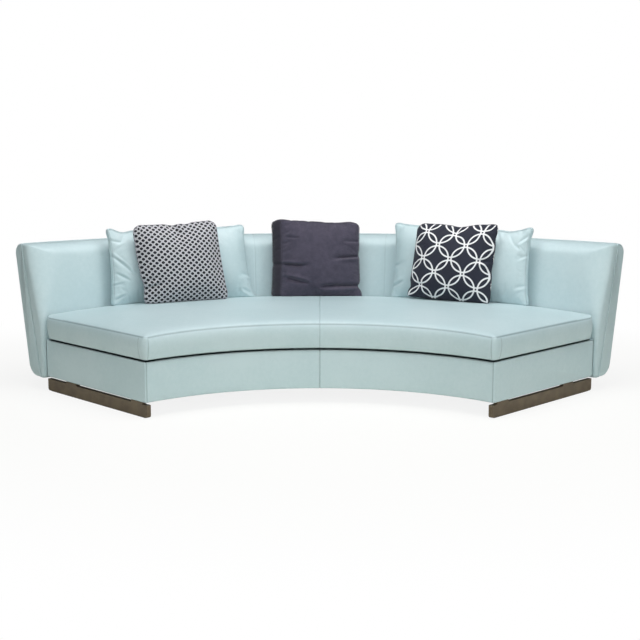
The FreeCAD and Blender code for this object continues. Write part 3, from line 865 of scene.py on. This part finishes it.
def cushionPiece(name, front, rear, boxing, flat, material):
    # front and rear are grids of points, boxing the loops between their borders
    columns, rows = front.shape[:2]
    border = borderOf(columns, rows)
    inner = boxing.reshape(-1, 3) if len(boxing) else np.zeros((0, 3))
    vertices = np.concatenate([front.reshape(-1, 3), inner, rear.reshape(-1, 3)])
    length = len(border)
    frontLoop = border[:, 0] * rows + border[:, 1]
    rearStart = columns * rows + len(inner)
    loops = [frontLoop]
    loops += [columns * rows + number * length + np.arange(length) for number in range(len(boxing))]
    loops.append(rearStart + frontLoop)
    grid = np.arange(columns * rows).reshape(columns, rows)
    corners = [grid[:-1, :-1], grid[1:, :-1], grid[1:, 1:], grid[:-1, 1:]]
    faces = np.stack(corners, axis=-1).reshape(-1, 4)
    flatUv = flat.reshape(-1, 2)
    uv = [flatUv[faces], flatUv[faces[:, ::-1]] + 0.7]
    allFaces = [faces, rearStart + faces[:, ::-1]]
    steps = np.linalg.norm(np.diff(vertices[np.append(frontLoop, frontLoop[0])], axis=0), axis=1)
    around = np.concatenate([[0], np.cumsum(steps)])
    depth = 0
    for first, second in zip(loops[:-1], loops[1:]):
        following = np.roll(np.arange(length), -1)
        quads = np.stack([first[following], first, second, second[following]], axis=-1)
        wide = float(np.linalg.norm(vertices[second] - vertices[first], axis=1).mean())
        near, far = np.full(length, depth), np.full(length, depth + wide)
        spots = [(around[1:], near), (around[:-1], near), (around[:-1], far), (around[1:], far)]
        spots = np.stack([np.stack(spot, axis=-1) for spot in spots], axis=1)
        allFaces.append(quads)
        uv.append(spots)
        depth += wide
    faces = np.concatenate(allFaces).tolist()
    return makeObject(name, vertices, faces, material, np.concatenate(uv)), loops


def pointsOf(mesh):
    points = np.empty(len(mesh.vertices) * 3, dtype=np.float32)
    mesh.vertices.foreach_get("co", points)
    return points.reshape(-1, 3).astype(float)


def setPoints(mesh, points):
    mesh.vertices.foreach_set("co", points.astype(np.float32).reshape(-1))
    mesh.update()


def inflate(piece, pinned, settings):
    # blows the cover up against its stitched borders, and limits how far it may move
    group = piece.vertex_groups.new(name="borders")
    group.add([int(index) for index in pinned], settings["pin"], "REPLACE")
    cloth = piece.modifiers.new("inflate", "CLOTH").settings
    cloth.quality = 5
    cloth.mass = 0.2
    cloth.use_pressure = True
    cloth.uniform_pressure_force = settings["pressure"]
    cloth.effector_weights.gravity = 0
    cloth.tension_stiffness = cloth.compression_stiffness = 12
    cloth.shear_stiffness = 6
    cloth.bending_stiffness = settings["bending"]
    cloth.shrink_min = cloth.shrink_max = -settings["slack"]
    cloth.vertex_group_mass = "borders"
    cloth.pin_stiffness = 1
    scene = bpy.context.scene
    for number in range(1, settings["frames"] + 1):
        scene.frame_set(number)
    graph = bpy.context.evaluated_depsgraph_get()
    blown = pointsOf(piece.evaluated_get(graph).data)
    piece.modifiers.clear()
    scene.frame_set(1)
    start = pointsOf(piece.data)
    move = blown - start
    far = np.linalg.norm(move, axis=1, keepdims=True)
    setPoints(piece.data, start + move * np.minimum(1, settings["cap"] / np.maximum(far, 1e-9)))


def subdivided(piece):
    modifier = piece.modifiers.new("finer", "SUBSURF")
    modifier.levels = modifier.render_levels = 1
    modifier.boundary_smooth = "PRESERVE_CORNERS"
    graph = bpy.context.evaluated_depsgraph_get()
    finer = bpy.data.meshes.new_from_object(piece.evaluated_get(graph), depsgraph=graph)
    piece.modifiers.clear()
    piece.data = finer


# ---- seat cushion ----
seat = {
    "frontRadius": 1.263,
    "rearRadius": 2.209,
    "low": 0.2958,
    "frontCorner": 0.022,
    "rearCorner": 0.060,
    "crown": 0.030,
    "edgeRise": 0.013,
    "bulge": 0.013,
    "tuck": 0.007,
    "under": 0.034,
    "seamDepth": 0.0016,
    "frontSeamHeight": (0.434, 0.014),
    "rearSeamHeight": (0.443, 0.023),
    "crossSeam": 0.045,
    "endInset": 0.005,
    "shares": (0.015, 0.04, 0.08, 0.14, 0.22, 0.32, 0.43, 0.54, 0.65, 0.74)
    + (0.82, 0.88, 0.92, 0.95, 0.975, 0.99, 0.997),
}


seatSeams = (seat["frontSeamHeight"], seat["rearSeamHeight"])


def acrossSeat(radius):
    share = (radius - seat["frontRadius"]) / (seat["rearRadius"] - seat["frontRadius"])
    return np.clip(share, 0, 1)


def seatSeamHeight(angle, radius):
    # the top seam is highest at the middle and falls towards the ends
    share = acrossSeat(radius)
    falling = (np.abs(angle) / plan["seatEnd"]) ** 4
    front, rear = (high - fall * falling for high, fall in seatSeams)
    return front * (1 - share) + rear * share


def seatTop(angle, radius):
    share = acrossSeat(radius)
    fromEnd = np.maximum(np.radians(plan["seatEnd"] - np.abs(angle)) * radius, 0)
    across = 4 * share * (1 - share)
    crown = seat["crown"] * across**0.8 * (1 - np.exp(-fromEnd / 0.15))
    side = np.minimum(radius - seat["frontRadius"], seat["rearRadius"] + 0.02 - radius)
    side = np.minimum(side, fromEnd)
    rise = seat["edgeRise"] * (1 - np.exp(-np.maximum(side, 0) / 0.018))
    return seatSeamHeight(angle, radius) + crown + rise


def seatTopAt(points):
    # height of the seat under points of the room
    radius = np.hypot(points[:, 0], points[:, 1] - arcY)
    angle = np.degrees(np.arctan2(points[:, 0], points[:, 1] - arcY))
    return seatTop(angle, radius)


def roundCorner(fromEnd, fromSide, radius):
    # moves what lies in a square corner into a quarter of a circle
    dx, dy = np.clip(radius - fromEnd, 0, None), np.clip(radius - fromSide, 0, None)
    far = np.maximum(dx, dy)
    length = np.maximum(np.hypot(dx, dy), 1e-9)
    inside = (dx > 0) & (dy > 0)
    newX = np.where(inside, radius - dx / length * far, fromEnd)
    newY = np.where(inside, radius - dy / length * far, fromSide)
    return newX, newY


def buildSeat():
    frontR, rearR = seat["frontRadius"], seat["rearRadius"]
    middle = (frontR + rearR) / 2
    half = math.radians(plan["seatEnd"]) * middle
    edges = (0, 0.003, 0.007, 0.012, 0.019, 0.028)
    frontSeam = half - 0.016 * middle / frontR
    along = marks(-half, half, 0.014, (0, frontSeam, -frontSeam), edges)
    outward = marks(frontR, rearR, 0.015, (frontR + seat["crossSeam"],), edges)
    place, radius = np.meshgrid(along, outward, indexing="ij")
    fromEnd = (half - np.abs(place)) / middle * radius
    low = np.minimum(radius - frontR, rearR - radius)
    newEnd, newSide = roundCorner(
        fromEnd, low, np.where(radius < middle, seat["frontCorner"], seat["rearCorner"])
    )
    radius = np.where(radius < middle, frontR + newSide, rearR - newSide)
    span = half / middle
    inset = 1 - seat["endInset"] / (span * radius)
    angle = np.sign(place) * np.degrees((span - newEnd / radius) * inset)
    height = seatTop(angle, radius) - seamGroove(place, seat["seamDepth"])
    nearEdge = np.minimum(newEnd, newSide)
    height = height - 0.0022 * (nearEdge < 0.0005)
    front = arcPoints(radius, angle, height)
    edgeShade = np.where(nearEdge < 0.0005, 0.95, 0.4 * (nearEdge < 0.0035))
    topShade = np.maximum(0.6 * seamShade(place), edgeShade)
    rear = arcPoints(radius, angle, seat["low"])
    border = borderOf(*place.shape)
    loop = front[border[:, 0], border[:, 1]]
    normals = outwardNormals(loop[:, :2])
    loopRadius = radius[border[:, 0], border[:, 1]]
    loopPlace = place[border[:, 0], border[:, 1]]
    outerSide = smoothStep(rearR - loopRadius, 0.0, 0.05)
    groove = seamGroove(loopPlace, seat["seamDepth"])
    frontOnly = loopRadius < frontR + 0.012
    for seam in (frontSeam, -frontSeam):
        groove += seamGroove(loopPlace - seam, seat["seamDepth"] * 0.8) * frontOnly
    atEnd = np.abs(loopPlace) > half - 1e-6
    fromCross = loopRadius - frontR - seat["crossSeam"]
    groove += seamGroove(fromCross, seat["seamDepth"] * 0.8) * atEnd
    boxing, boxingSeamsAndPaintedShade = [], []
    lines = np.maximum(seamShade(loopPlace - frontSeam), seamShade(loopPlace + frontSeam))
    lines = np.maximum(seamShade(loopPlace), lines * frontOnly)
    lines = np.maximum(lines, seamShade(fromCross) * atEnd)
    for share in seat["shares"]:
        # the lowest part is a painted shadow, dark as the crack under the cushion is in shade; the
        # top row is darkened as a seam line
        dark = max(0.5 * (share < 0.02), 0.9 * smoothStep(share, 0.93, 0.99))
        boxingSeamsAndPaintedShade.append(np.maximum(0.6 * lines, dark))
        bulge = seat["bulge"] * np.sin(np.pi * share**0.72) ** 0.7
        turned = smoothStep(share, 0.90, 1.0) ** 2
        tuck = seat["tuck"] * share**2.6 + (seat["under"] - seat["tuck"]) * turned
        level = loop[:, 2] + (seat["low"] - loop[:, 2]) * share
        out = (bulge * outerSide - tuck * outerSide - groove)[:, None]
        boxing.append(np.concatenate([loop[:, :2] + normals * out, level[:, None]], axis=1))
    rear[border[:, 0], border[:, 1], :2] -= normals * (seat["under"] * outerSide)[:, None]
    flat = np.stack([place, radius], axis=-1)
    piece, _ = cushionPiece("seat", front, rear, np.array(boxing), flat, finishes["leather"])
    markSeamsAndPaintedShade(piece, np.concatenate([topShade.reshape(-1), *boxingSeamsAndPaintedShade, np.zeros(place.size)]))
    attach(piece, "seat_cushion")
    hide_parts("seat_cover", "seat_core")
    # two rows of stitches follow the top seam along the front and both ends
    order = np.roll(np.arange(len(loop)), -int(np.argmax(loopRadius)))
    order = order[loopRadius[order] < rearR - 0.02]
    paths = []
    for outward, upward in ((-0.0022, 0.00122), (0.0030, -0.0050)):
        rise = np.full((len(loop), 1), upward)
        paths.append((loop + np.concatenate([normals * outward, rise], axis=1))[order])
    alongPaths("seat_stitches", "stitches", paths, "seat_cushion", "leather", thread)


buildSeat()
print("seat made")


# ---- loose cushions ----
def placing(radius, angle, height, lean, turn=0, roll=0):
    # matrix whose X runs to the viewer's right, Y away from the viewer and Z up the back
    spot = Vector(arcPoints(radius, angle, height).tolist())
    stand = Matrix.Translation(spot) @ Matrix.Rotation(math.radians(-angle), 4, "Z")
    leaning = Matrix.Rotation(math.radians(-lean), 4, "X")
    turned = Matrix.Rotation(math.radians(turn), 4, "Z")
    return stand @ leaning @ turned @ Matrix.Rotation(math.radians(roll), 4, "Y")


def drawnIn(look, x, z, u, v):
    # sides pull in between the corners
    x = x - np.sign(u) * look["pull"] * (1 - v**2) * np.abs(u) ** 3
    rise = np.where(v > 0, 1, 0.35) * np.sign(v)
    z = z - rise * look["pull"] * (1 - u**2) * np.abs(v) ** 3
    # corners stand out as small ears
    halfWide, halfHigh = look["size"][0] / 2, look["size"][1] / 2
    for cornerX, cornerZ, size in look["ears"]:
        far = ((u - cornerX) * halfWide / 0.035) ** 2 + ((v - cornerZ) * halfHigh / 0.035) ** 2
        near = np.exp(-far)
        x, z = x + near * size * cornerX, z + near * size * cornerZ
    # and edges are drawn in where a fold reaches them
    for side, placeZ, depth, wide in look.get("nips", ()):
        reach = smoothStep(side * u, 0.3, 1.0)
        x = x - side * depth * np.exp(-(((z - placeZ) / wide) ** 2)) * reach
    for placeX, depth, wide in look["dips"]:
        z = z - depth * np.exp(-(((x - placeX) / wide) ** 2)) * smoothStep(v, 0.2, 1.0)
    return x, z


def creased(look, x, y, z):
    # each fold is a valley with a lower ridge beside it, fading at both ends
    for startX, startZ, endX, endZ, depth, wide in look["folds"]:
        line = np.array([endX - startX, endZ - startZ])
        length = np.linalg.norm(line)
        line /= length
        runAlong = ((x - startX) * line[0] + (z - startZ) * line[1]) / length
        off = (x - startX) * -line[1] + (z - startZ) * line[0]
        strength = smoothStep(runAlong, -0.12, 0.25) * (1 - smoothStep(runAlong, 0.55, 1.1))
        valley = np.exp(-((off / wide) ** 2))
        ridge = np.exp(-(((off - 1.7 * wide) / (1.2 * wide)) ** 2))
        y = y + depth * strength * (valley - 0.6 * ridge)
    return y


def cushionMesh(name, look, settings):
    width, height, thick = look["size"]
    half = width / 2
    spacing = 0.0068
    across = np.linspace(-half, half, round(width / spacing) + 1)
    up = np.linspace(0, height, round(height / spacing) + 1)
    x, z = np.meshgrid(across, up, indexing="ij")
    flat = np.stack([x, z], axis=-1)
    u, v = x / half, (2 * z - height) / height
    fromSide, fromEdge = half - np.abs(x), height / 2 - np.abs(z - height / 2)
    newSide, newEdge = roundCorner(fromSide, fromEdge, look["corner"])
    x = np.sign(x) * (half - newSide)
    z = height / 2 + np.sign(z - height / 2) * (height / 2 - newEdge)
    # each corner of the pattern is let out or taken in
    for (cornerX, cornerZ), (moveX, moveZ) in look["corners"].items():
        part = (1 + cornerX * u) * (1 + cornerZ * v) / 4
        x, z = x + part * moveX, z + part * moveZ
    x, z = drawnIn(look, x, z, u, v)
    crown = np.clip(1 - np.abs(u) ** 2.6, 0, 1) * np.clip(1 - np.abs(v) ** 2.4, 0, 1)
    boxed = look["boxing"] / 2
    sag = 1 + 0.18 * (0.5 - (v + 1) / 2)
    swell = (thick / 2 - boxed) * crown**0.55 * sag
    y = creased(look, x, -(boxed + swell), z)
    yRear = boxed + np.minimum(swell, (thick / 2 - boxed) * 0.9)
    middle = thick / 2
    curve = look.get("wrap", 0) * (x / half) ** 2
    front = np.stack([x, y - middle - curve, z], axis=-1)
    rear = np.stack([x + look.get("rearShift", 0), yRear - middle - curve, z], axis=-1)
    border = borderOf(*x.shape)
    loop = front[border[:, 0], border[:, 1]]
    rearLoop = rear[border[:, 0], border[:, 1]]
    normals = outwardNormals(loop[:, [0, 2]])
    boxing = []
    for share in np.linspace(0, 1, max(2, round(look["boxing"] / spacing) + 1))[1:-1]:
        row = loop + (rearLoop - loop) * share
        puff = look["boxing"] * 0.16 * math.sin(math.pi * share) * normals
        row[:, 0] += puff[:, 0]
        row[:, 2] += puff[:, 1] * (normals[:, 1] > -0.5)
        boxing.append(row)
    material = finishes[settings["slot"]]
    piece, loops = cushionPiece(name, front, rear, np.array(boxing), flat, material)
    seamLinesAndPaintedShade = np.zeros(len(piece.data.vertices))
    # painted shade: the boxing is darkened where it faces left, as a side in shade
    for ring in loops[1:-1]:
        seamLinesAndPaintedShade[ring] = look.get("gussetPaintedShade", 0) * smoothStep(-normals[:, 0], 0.3, 0.8)
    borders = np.concatenate([loops[0], loops[-1]])
    seamLinesAndPaintedShade[borders] = settings["seamShade"]
    markSeamsAndPaintedShade(piece, seamLinesAndPaintedShade)
    inflate(piece, borders, settings)
    return piece, loops


def looseCushion(name, look, settings):
    piece, loops = cushionMesh(name, look, settings)
    points = pointsOf(piece.data)
    matrix = np.array(placing(**look["place"]))
    points = points @ matrix[:3, :3].T + matrix[:3, 3]
    # the cover gives way to the seat below and to what it leans on
    under = seatTopAt(points) + 0.0015
    points[:, 2] += np.maximum(under - points[:, 2], 0)
    radius = np.hypot(points[:, 0], points[:, 1] - arcY)
    squeeze = np.minimum(settings["limit"](points) / radius, 1)
    points[:, 0] *= squeeze
    points[:, 1] = arcY + (points[:, 1] - arcY) * squeeze
    setPoints(piece.data, points)
    subdivided(piece)
    body, slot = look["body"], settings["slot"]
    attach(piece, body)
    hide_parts(body + "_cover", body + "_insert")
    seams = [points[loops[0]], points[loops[-1]]]
    closed = [np.concatenate([line, line[:1]]) for line in seams]
    welt, radius = finishes[slot], settings["welt"]
    alongPaths(name + "_welt", "welt", closed, body, slot, welt, Radius=radius)


def backFront(points, gap=0.004):
    # radius of the back's front, which the middle throw leans on
    return padFront(points[:, 2]) - gap


def leatherBack(points):
    return backFront(points, 0.003)


def leatherFront(points):
    # radius of the leather cushions' fronts, which the outer throws lean on
    return backFront(points, 0.158)


leatherCushion = {
    "slot": "leather",
    "pressure": 4,
    "bending": 0.6,
    "slack": 0.012,
    "frames": 20,
    "cap": 0.022,
    "pin": 0.9,
    "limit": leatherBack,
    "welt": 0.0016,
    "seamShade": 0.5,
}
throwCushion = dict(
    leatherCushion,
    pressure=4.5,
    bending=0.25,
    slack=0.02,
    cap=0.024,
    pin=0.85,
    welt=0.0011,
)


cushionLeft = {
    "body": "back_cushion_left",
    "size": (0.850, 0.455, 0.150),
    "corner": 0.030,
    "pull": 0.010,
    "boxing": 0.045,
    "fill": 0.7,
    "wrap": 0.036,
    "ears": [(-1, 1, 0.012), (1, 1, 0.006), (-1, -1, 0.006), (1, -1, 0.014)],
    "dips": [(-0.34, 0.014, 0.045)],
    "folds": [
        (-0.430, 0.295, -0.250, 0.125, 0.010, 0.008),
        (-0.400, 0.180, -0.310, 0.130, 0.007, 0.008),
        (-0.425, 0.110, -0.350, 0.125, 0.004, 0.006),
        (-0.425, 0.375, -0.340, 0.350, 0.004, 0.007),
        (-0.415, 0.025, -0.340, 0.060, 0.006, 0.008),
        (0.415, 0.025, 0.340, 0.065, 0.007, 0.009),
        (0.420, 0.125, 0.350, 0.150, 0.004, 0.008),
    ],
    "corners": {(1, 1): (-0.034, -0.020), (-1, 1): (0, -0.024)},
    "place": {"radius": 2.224, "angle": -22.3, "height": 0.440, "lean": 9.5},
}
cushionRight = dict(
    cushionLeft,
    body="back_cushion_right",
    ears=[(-1, 1, 0.008), (1, 1, 0.018), (-1, -1, 0.010), (1, -1, 0.008)],
    dips=[(0.30, 0.010, 0.05)],
    folds=[
        (0.420, 0.400, 0.350, 0.345, 0.006, 0.008),
        (0.425, 0.290, 0.360, 0.255, 0.004, 0.007),
        (0.420, 0.110, 0.350, 0.095, 0.004, 0.008),
        (-0.410, 0.060, -0.300, 0.110, 0.006, 0.009),
        (-0.410, 0.190, -0.330, 0.205, 0.004, 0.009),
    ],
    corners={(-1, 1): (0.030, -0.010), (1, 1): (-0.006, -0.024), (-1, -1): (0.034, 0)},
    place={"radius": 2.224, "angle": 22.3, "height": 0.440, "lean": 9.5},
)
throwLeft = {
    "body": "throw_left",
    "size": (0.490, 0.470, 0.130),
    "corner": 0.050,
    "pull": 0.006,
    "boxing": 0.020,
    "fill": 0.75,
    "corners": {
        (-1, 1): (-0.020, 0),
        (1, 1): (-0.012, -0.016),
        (1, -1): (0.004, -0.016),
        (-1, -1): (-0.006, 0),
    },
    "nips": [(-1, 0.115, 0.010, 0.040), (-1, 0.30, -0.006, 0.10)],
    "ears": [(1, -1, 0.006)],
    "dips": [(-0.03, 0.010, 0.035), (0.05, 0.008, 0.03)],
    "folds": [
        (-0.03, 0.470, 0.00, 0.375, 0.016, 0.009),
        (0.05, 0.465, 0.02, 0.385, 0.009, 0.008),
        (-0.24, 0.105, -0.13, 0.125, 0.014, 0.008),
        (-0.24, 0.150, -0.16, 0.155, 0.008, 0.008),
    ],
    "place": {"radius": 2.072, "angle": -22.6, "height": 0.461, "lean": 9.5, "roll": -4.0},
}
throwRight = dict(
    throwLeft,
    body="throw_right",
    corners={(-1, 1): (0.016, -0.030), (-1, -1): (-0.004, 0.008), (1, 1): (0.004, -0.004)},
    nips=[(-1, 0.070, 0.010, 0.025), (1, 0.380, 0.006, 0.03), (1, 0.20, 0.006, 0.04)],
    ears=[(1, 1, 0.008), (-1, -1, 0.010), (1, -1, 0.004)],
    dips=[(0.03, 0.014, 0.06)],
    folds=[
        (0.03, 0.460, 0.02, 0.370, 0.012, 0.011),
        (-0.23, 0.060, -0.10, 0.110, 0.010, 0.010),
        (0.23, 0.250, 0.15, 0.240, 0.010, 0.010),
    ],
    place={"radius": 2.072, "angle": 21.9, "height": 0.461, "lean": 9.5, "roll": 2.5},
)
throwMiddle = dict(
    throwLeft,
    body="throw_middle",
    boxing=0.050,
    corner=0.040,
    ears=[(-1, 1, 0.004), (-1, -1, 0.004), (1, -1, 0.016)],
    dips=[(0.10, 0.006, 0.08)],
    folds=[
        (-0.235, 0.200, -0.080, 0.190, 0.020, 0.008),
        (0.240, 0.250, 0.060, 0.232, 0.018, 0.008),
        (-0.220, 0.120, -0.060, 0.085, 0.020, 0.009),
        (0.240, 0.075, -0.060, 0.068, 0.024, 0.010),
        (-0.220, 0.365, -0.120, 0.352, 0.009, 0.008),
        (0.230, 0.340, 0.120, 0.335, 0.009, 0.008),
    ],
    nips=[(1, 0.262, 0.005, 0.022), (1, 0.068, 0.014, 0.020), (-1, 0.200, 0.003, 0.018)],
    # painted shade on the left gusset, which faces away from the light
    gussetPaintedShade=0.9,
    rearShift=-0.052,
    corners={(1, 1): (-0.010, -0.014), (1, -1): (-0.002, 0), (-1, 1): (0, -0.004)},
    place={"radius": 2.200, "angle": -0.05, "height": 0.444, "lean": 9.5, "turn": 6},
)
looseCushion("cushion_left", cushionLeft, leatherCushion)
looseCushion("cushion_right", cushionRight, leatherCushion)
for name, look, slot, limit in (
    ("throw_basket", throwLeft, "weave_print", leatherFront),
    ("throw_trellis", throwRight, "trellis_print", leatherFront),
    ("throw_plain", throwMiddle, "plain_weave", backFront),
):
    looseCushion(name, look, dict(throwCushion, slot=slot, limit=limit))
print("cushions made")


# ---- feet: copies of the blades with softened edges ----
def softEdged(name, node, width):
    mesh = nodes[node].data.copy()
    shape = bmesh.new()
    shape.from_mesh(mesh)
    bmesh.ops.remove_doubles(shape, verts=shape.verts, dist=1e-5)
    flat = math.radians(1)
    bmesh.ops.dissolve_limit(shape, angle_limit=flat, verts=shape.verts, edges=shape.edges)
    bmesh.ops.recalc_face_normals(shape, faces=shape.faces)
    sharp = [edge for edge in shape.edges if edge.calc_face_angle(0) > math.radians(30)]
    bmesh.ops.bevel(shape, geom=sharp, offset=width, segments=2, profile=0.6, affect="EDGES")
    shape.to_mesh(mesh)
    shape.free()
    mesh.polygons.foreach_set("use_smooth", [False] * len(mesh.polygons))
    piece = added(name, mesh)
    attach(piece, "root")
    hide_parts(node)


softEdged("blade_left", "foot_blade_left", 0.0012)
softEdged("blade_right", "foot_blade_right", 0.0012)
print("feet made")


# ---- floor, light and camera ----
studio = {"floor": (0.86, 0.87, 0.80), "shadowless": 0.86, "world": 0.02}


def buildStudio():
    finish = Finish("studio floor")
    seen = finish.node("LightPath", output=0)
    matte = finish.node("BsdfDiffuse", None, {"Color": colour(*studio["floor"])})
    white = finish.node("Emission", None, {"Color": colour(1, 1, 1), "Strength": 1.0})
    # past the sofa's shadow the floor is plain white to the camera
    x, y, _ = finish.split(finish.place())
    far = ((x**2 * 0.5 + (y + 0.2) ** 2) ** 0.5).fade(1.3, 3.0)
    clear = studio["shadowless"] + far * (1 - studio["shadowless"])
    mixed = finish.node("MixShader", None, {0: seen * clear, 1: matte, 2: white})
    finish.node("OutputMaterial", None, {"Surface": mixed})
    bpy.ops.mesh.primitive_plane_add(size=60, location=(0, 0, -0.0005))
    floor = bpy.context.object
    floor.name = "floor"
    floor.data.materials.append(finish.owner)
    world = Finish("studio", "worlds")
    straight = world.node("LightPath", output="Is Camera Ray")
    shown = straight.math("MAXIMUM", world.node("LightPath", output="Is Transmission Ray"))
    dim = {"Color": colour(1.0, 0.995, 0.975), "Strength": studio["world"]}
    light = world.node("Background", None, dim)
    white = world.node("Background", None, {"Color": colour(1, 1, 1), "Strength": 1.0})
    mix = world.node("MixShader", None, {0: shown, 1: light, 2: white})
    world.node("OutputWorld", None, {"Surface": mix})
    bpy.context.scene.world = world.owner


lamps = {
    "overhead": {"place": (0.2, -1.0, 4.3), "aim": (0, -0.1, 0.4), "size": (5, 3), "power": 198},
    "front": {"place": (0.5, -7.2, 2.8), "aim": (0, 0, 0.5), "size": (4.0, 2.4), "power": 72},
    "left": {"place": (-5.5, -5.0, 2.8), "aim": (0, 0, 0.5), "size": (3.0, 2.4), "power": 60},
    "right": {"place": (5.5, -5.0, 2.8), "aim": (0, 0, 0.5), "size": (3.0, 2.4), "power": 98},
}


def buildLamps():
    for name, look in lamps.items():
        light = bpy.data.lights.new(name, "AREA")
        light.shape = "RECTANGLE"
        light.size, light.size_y = look["size"]
        light.energy = look["power"]
        lamp = added(name, light)
        lamp.location = look["place"]
        aim = Vector(look["aim"]) - Vector(look["place"])
        lamp.rotation_euler = aim.to_track_quat("-Z", "Y").to_euler()


camera = {"fromAxis": -4.9446, "x": 0.0012, "height": 1.4365, "lens": 66.33, "tilt": 81.025}


def buildCamera():
    data = bpy.data.cameras.new("camera")
    data.lens = camera["lens"]
    data.sensor_width = 36
    eye = added("camera", data)
    eye.location = (camera["x"], arcY + camera["fromAxis"], camera["height"])
    eye.rotation_euler = (math.radians(camera["tilt"]), 0, 0)
    bpy.context.scene.camera = eye
    bpy.context.scene.view_settings.view_transform = "Standard"


buildStudio()
buildLamps()
buildCamera()
print("studio made")
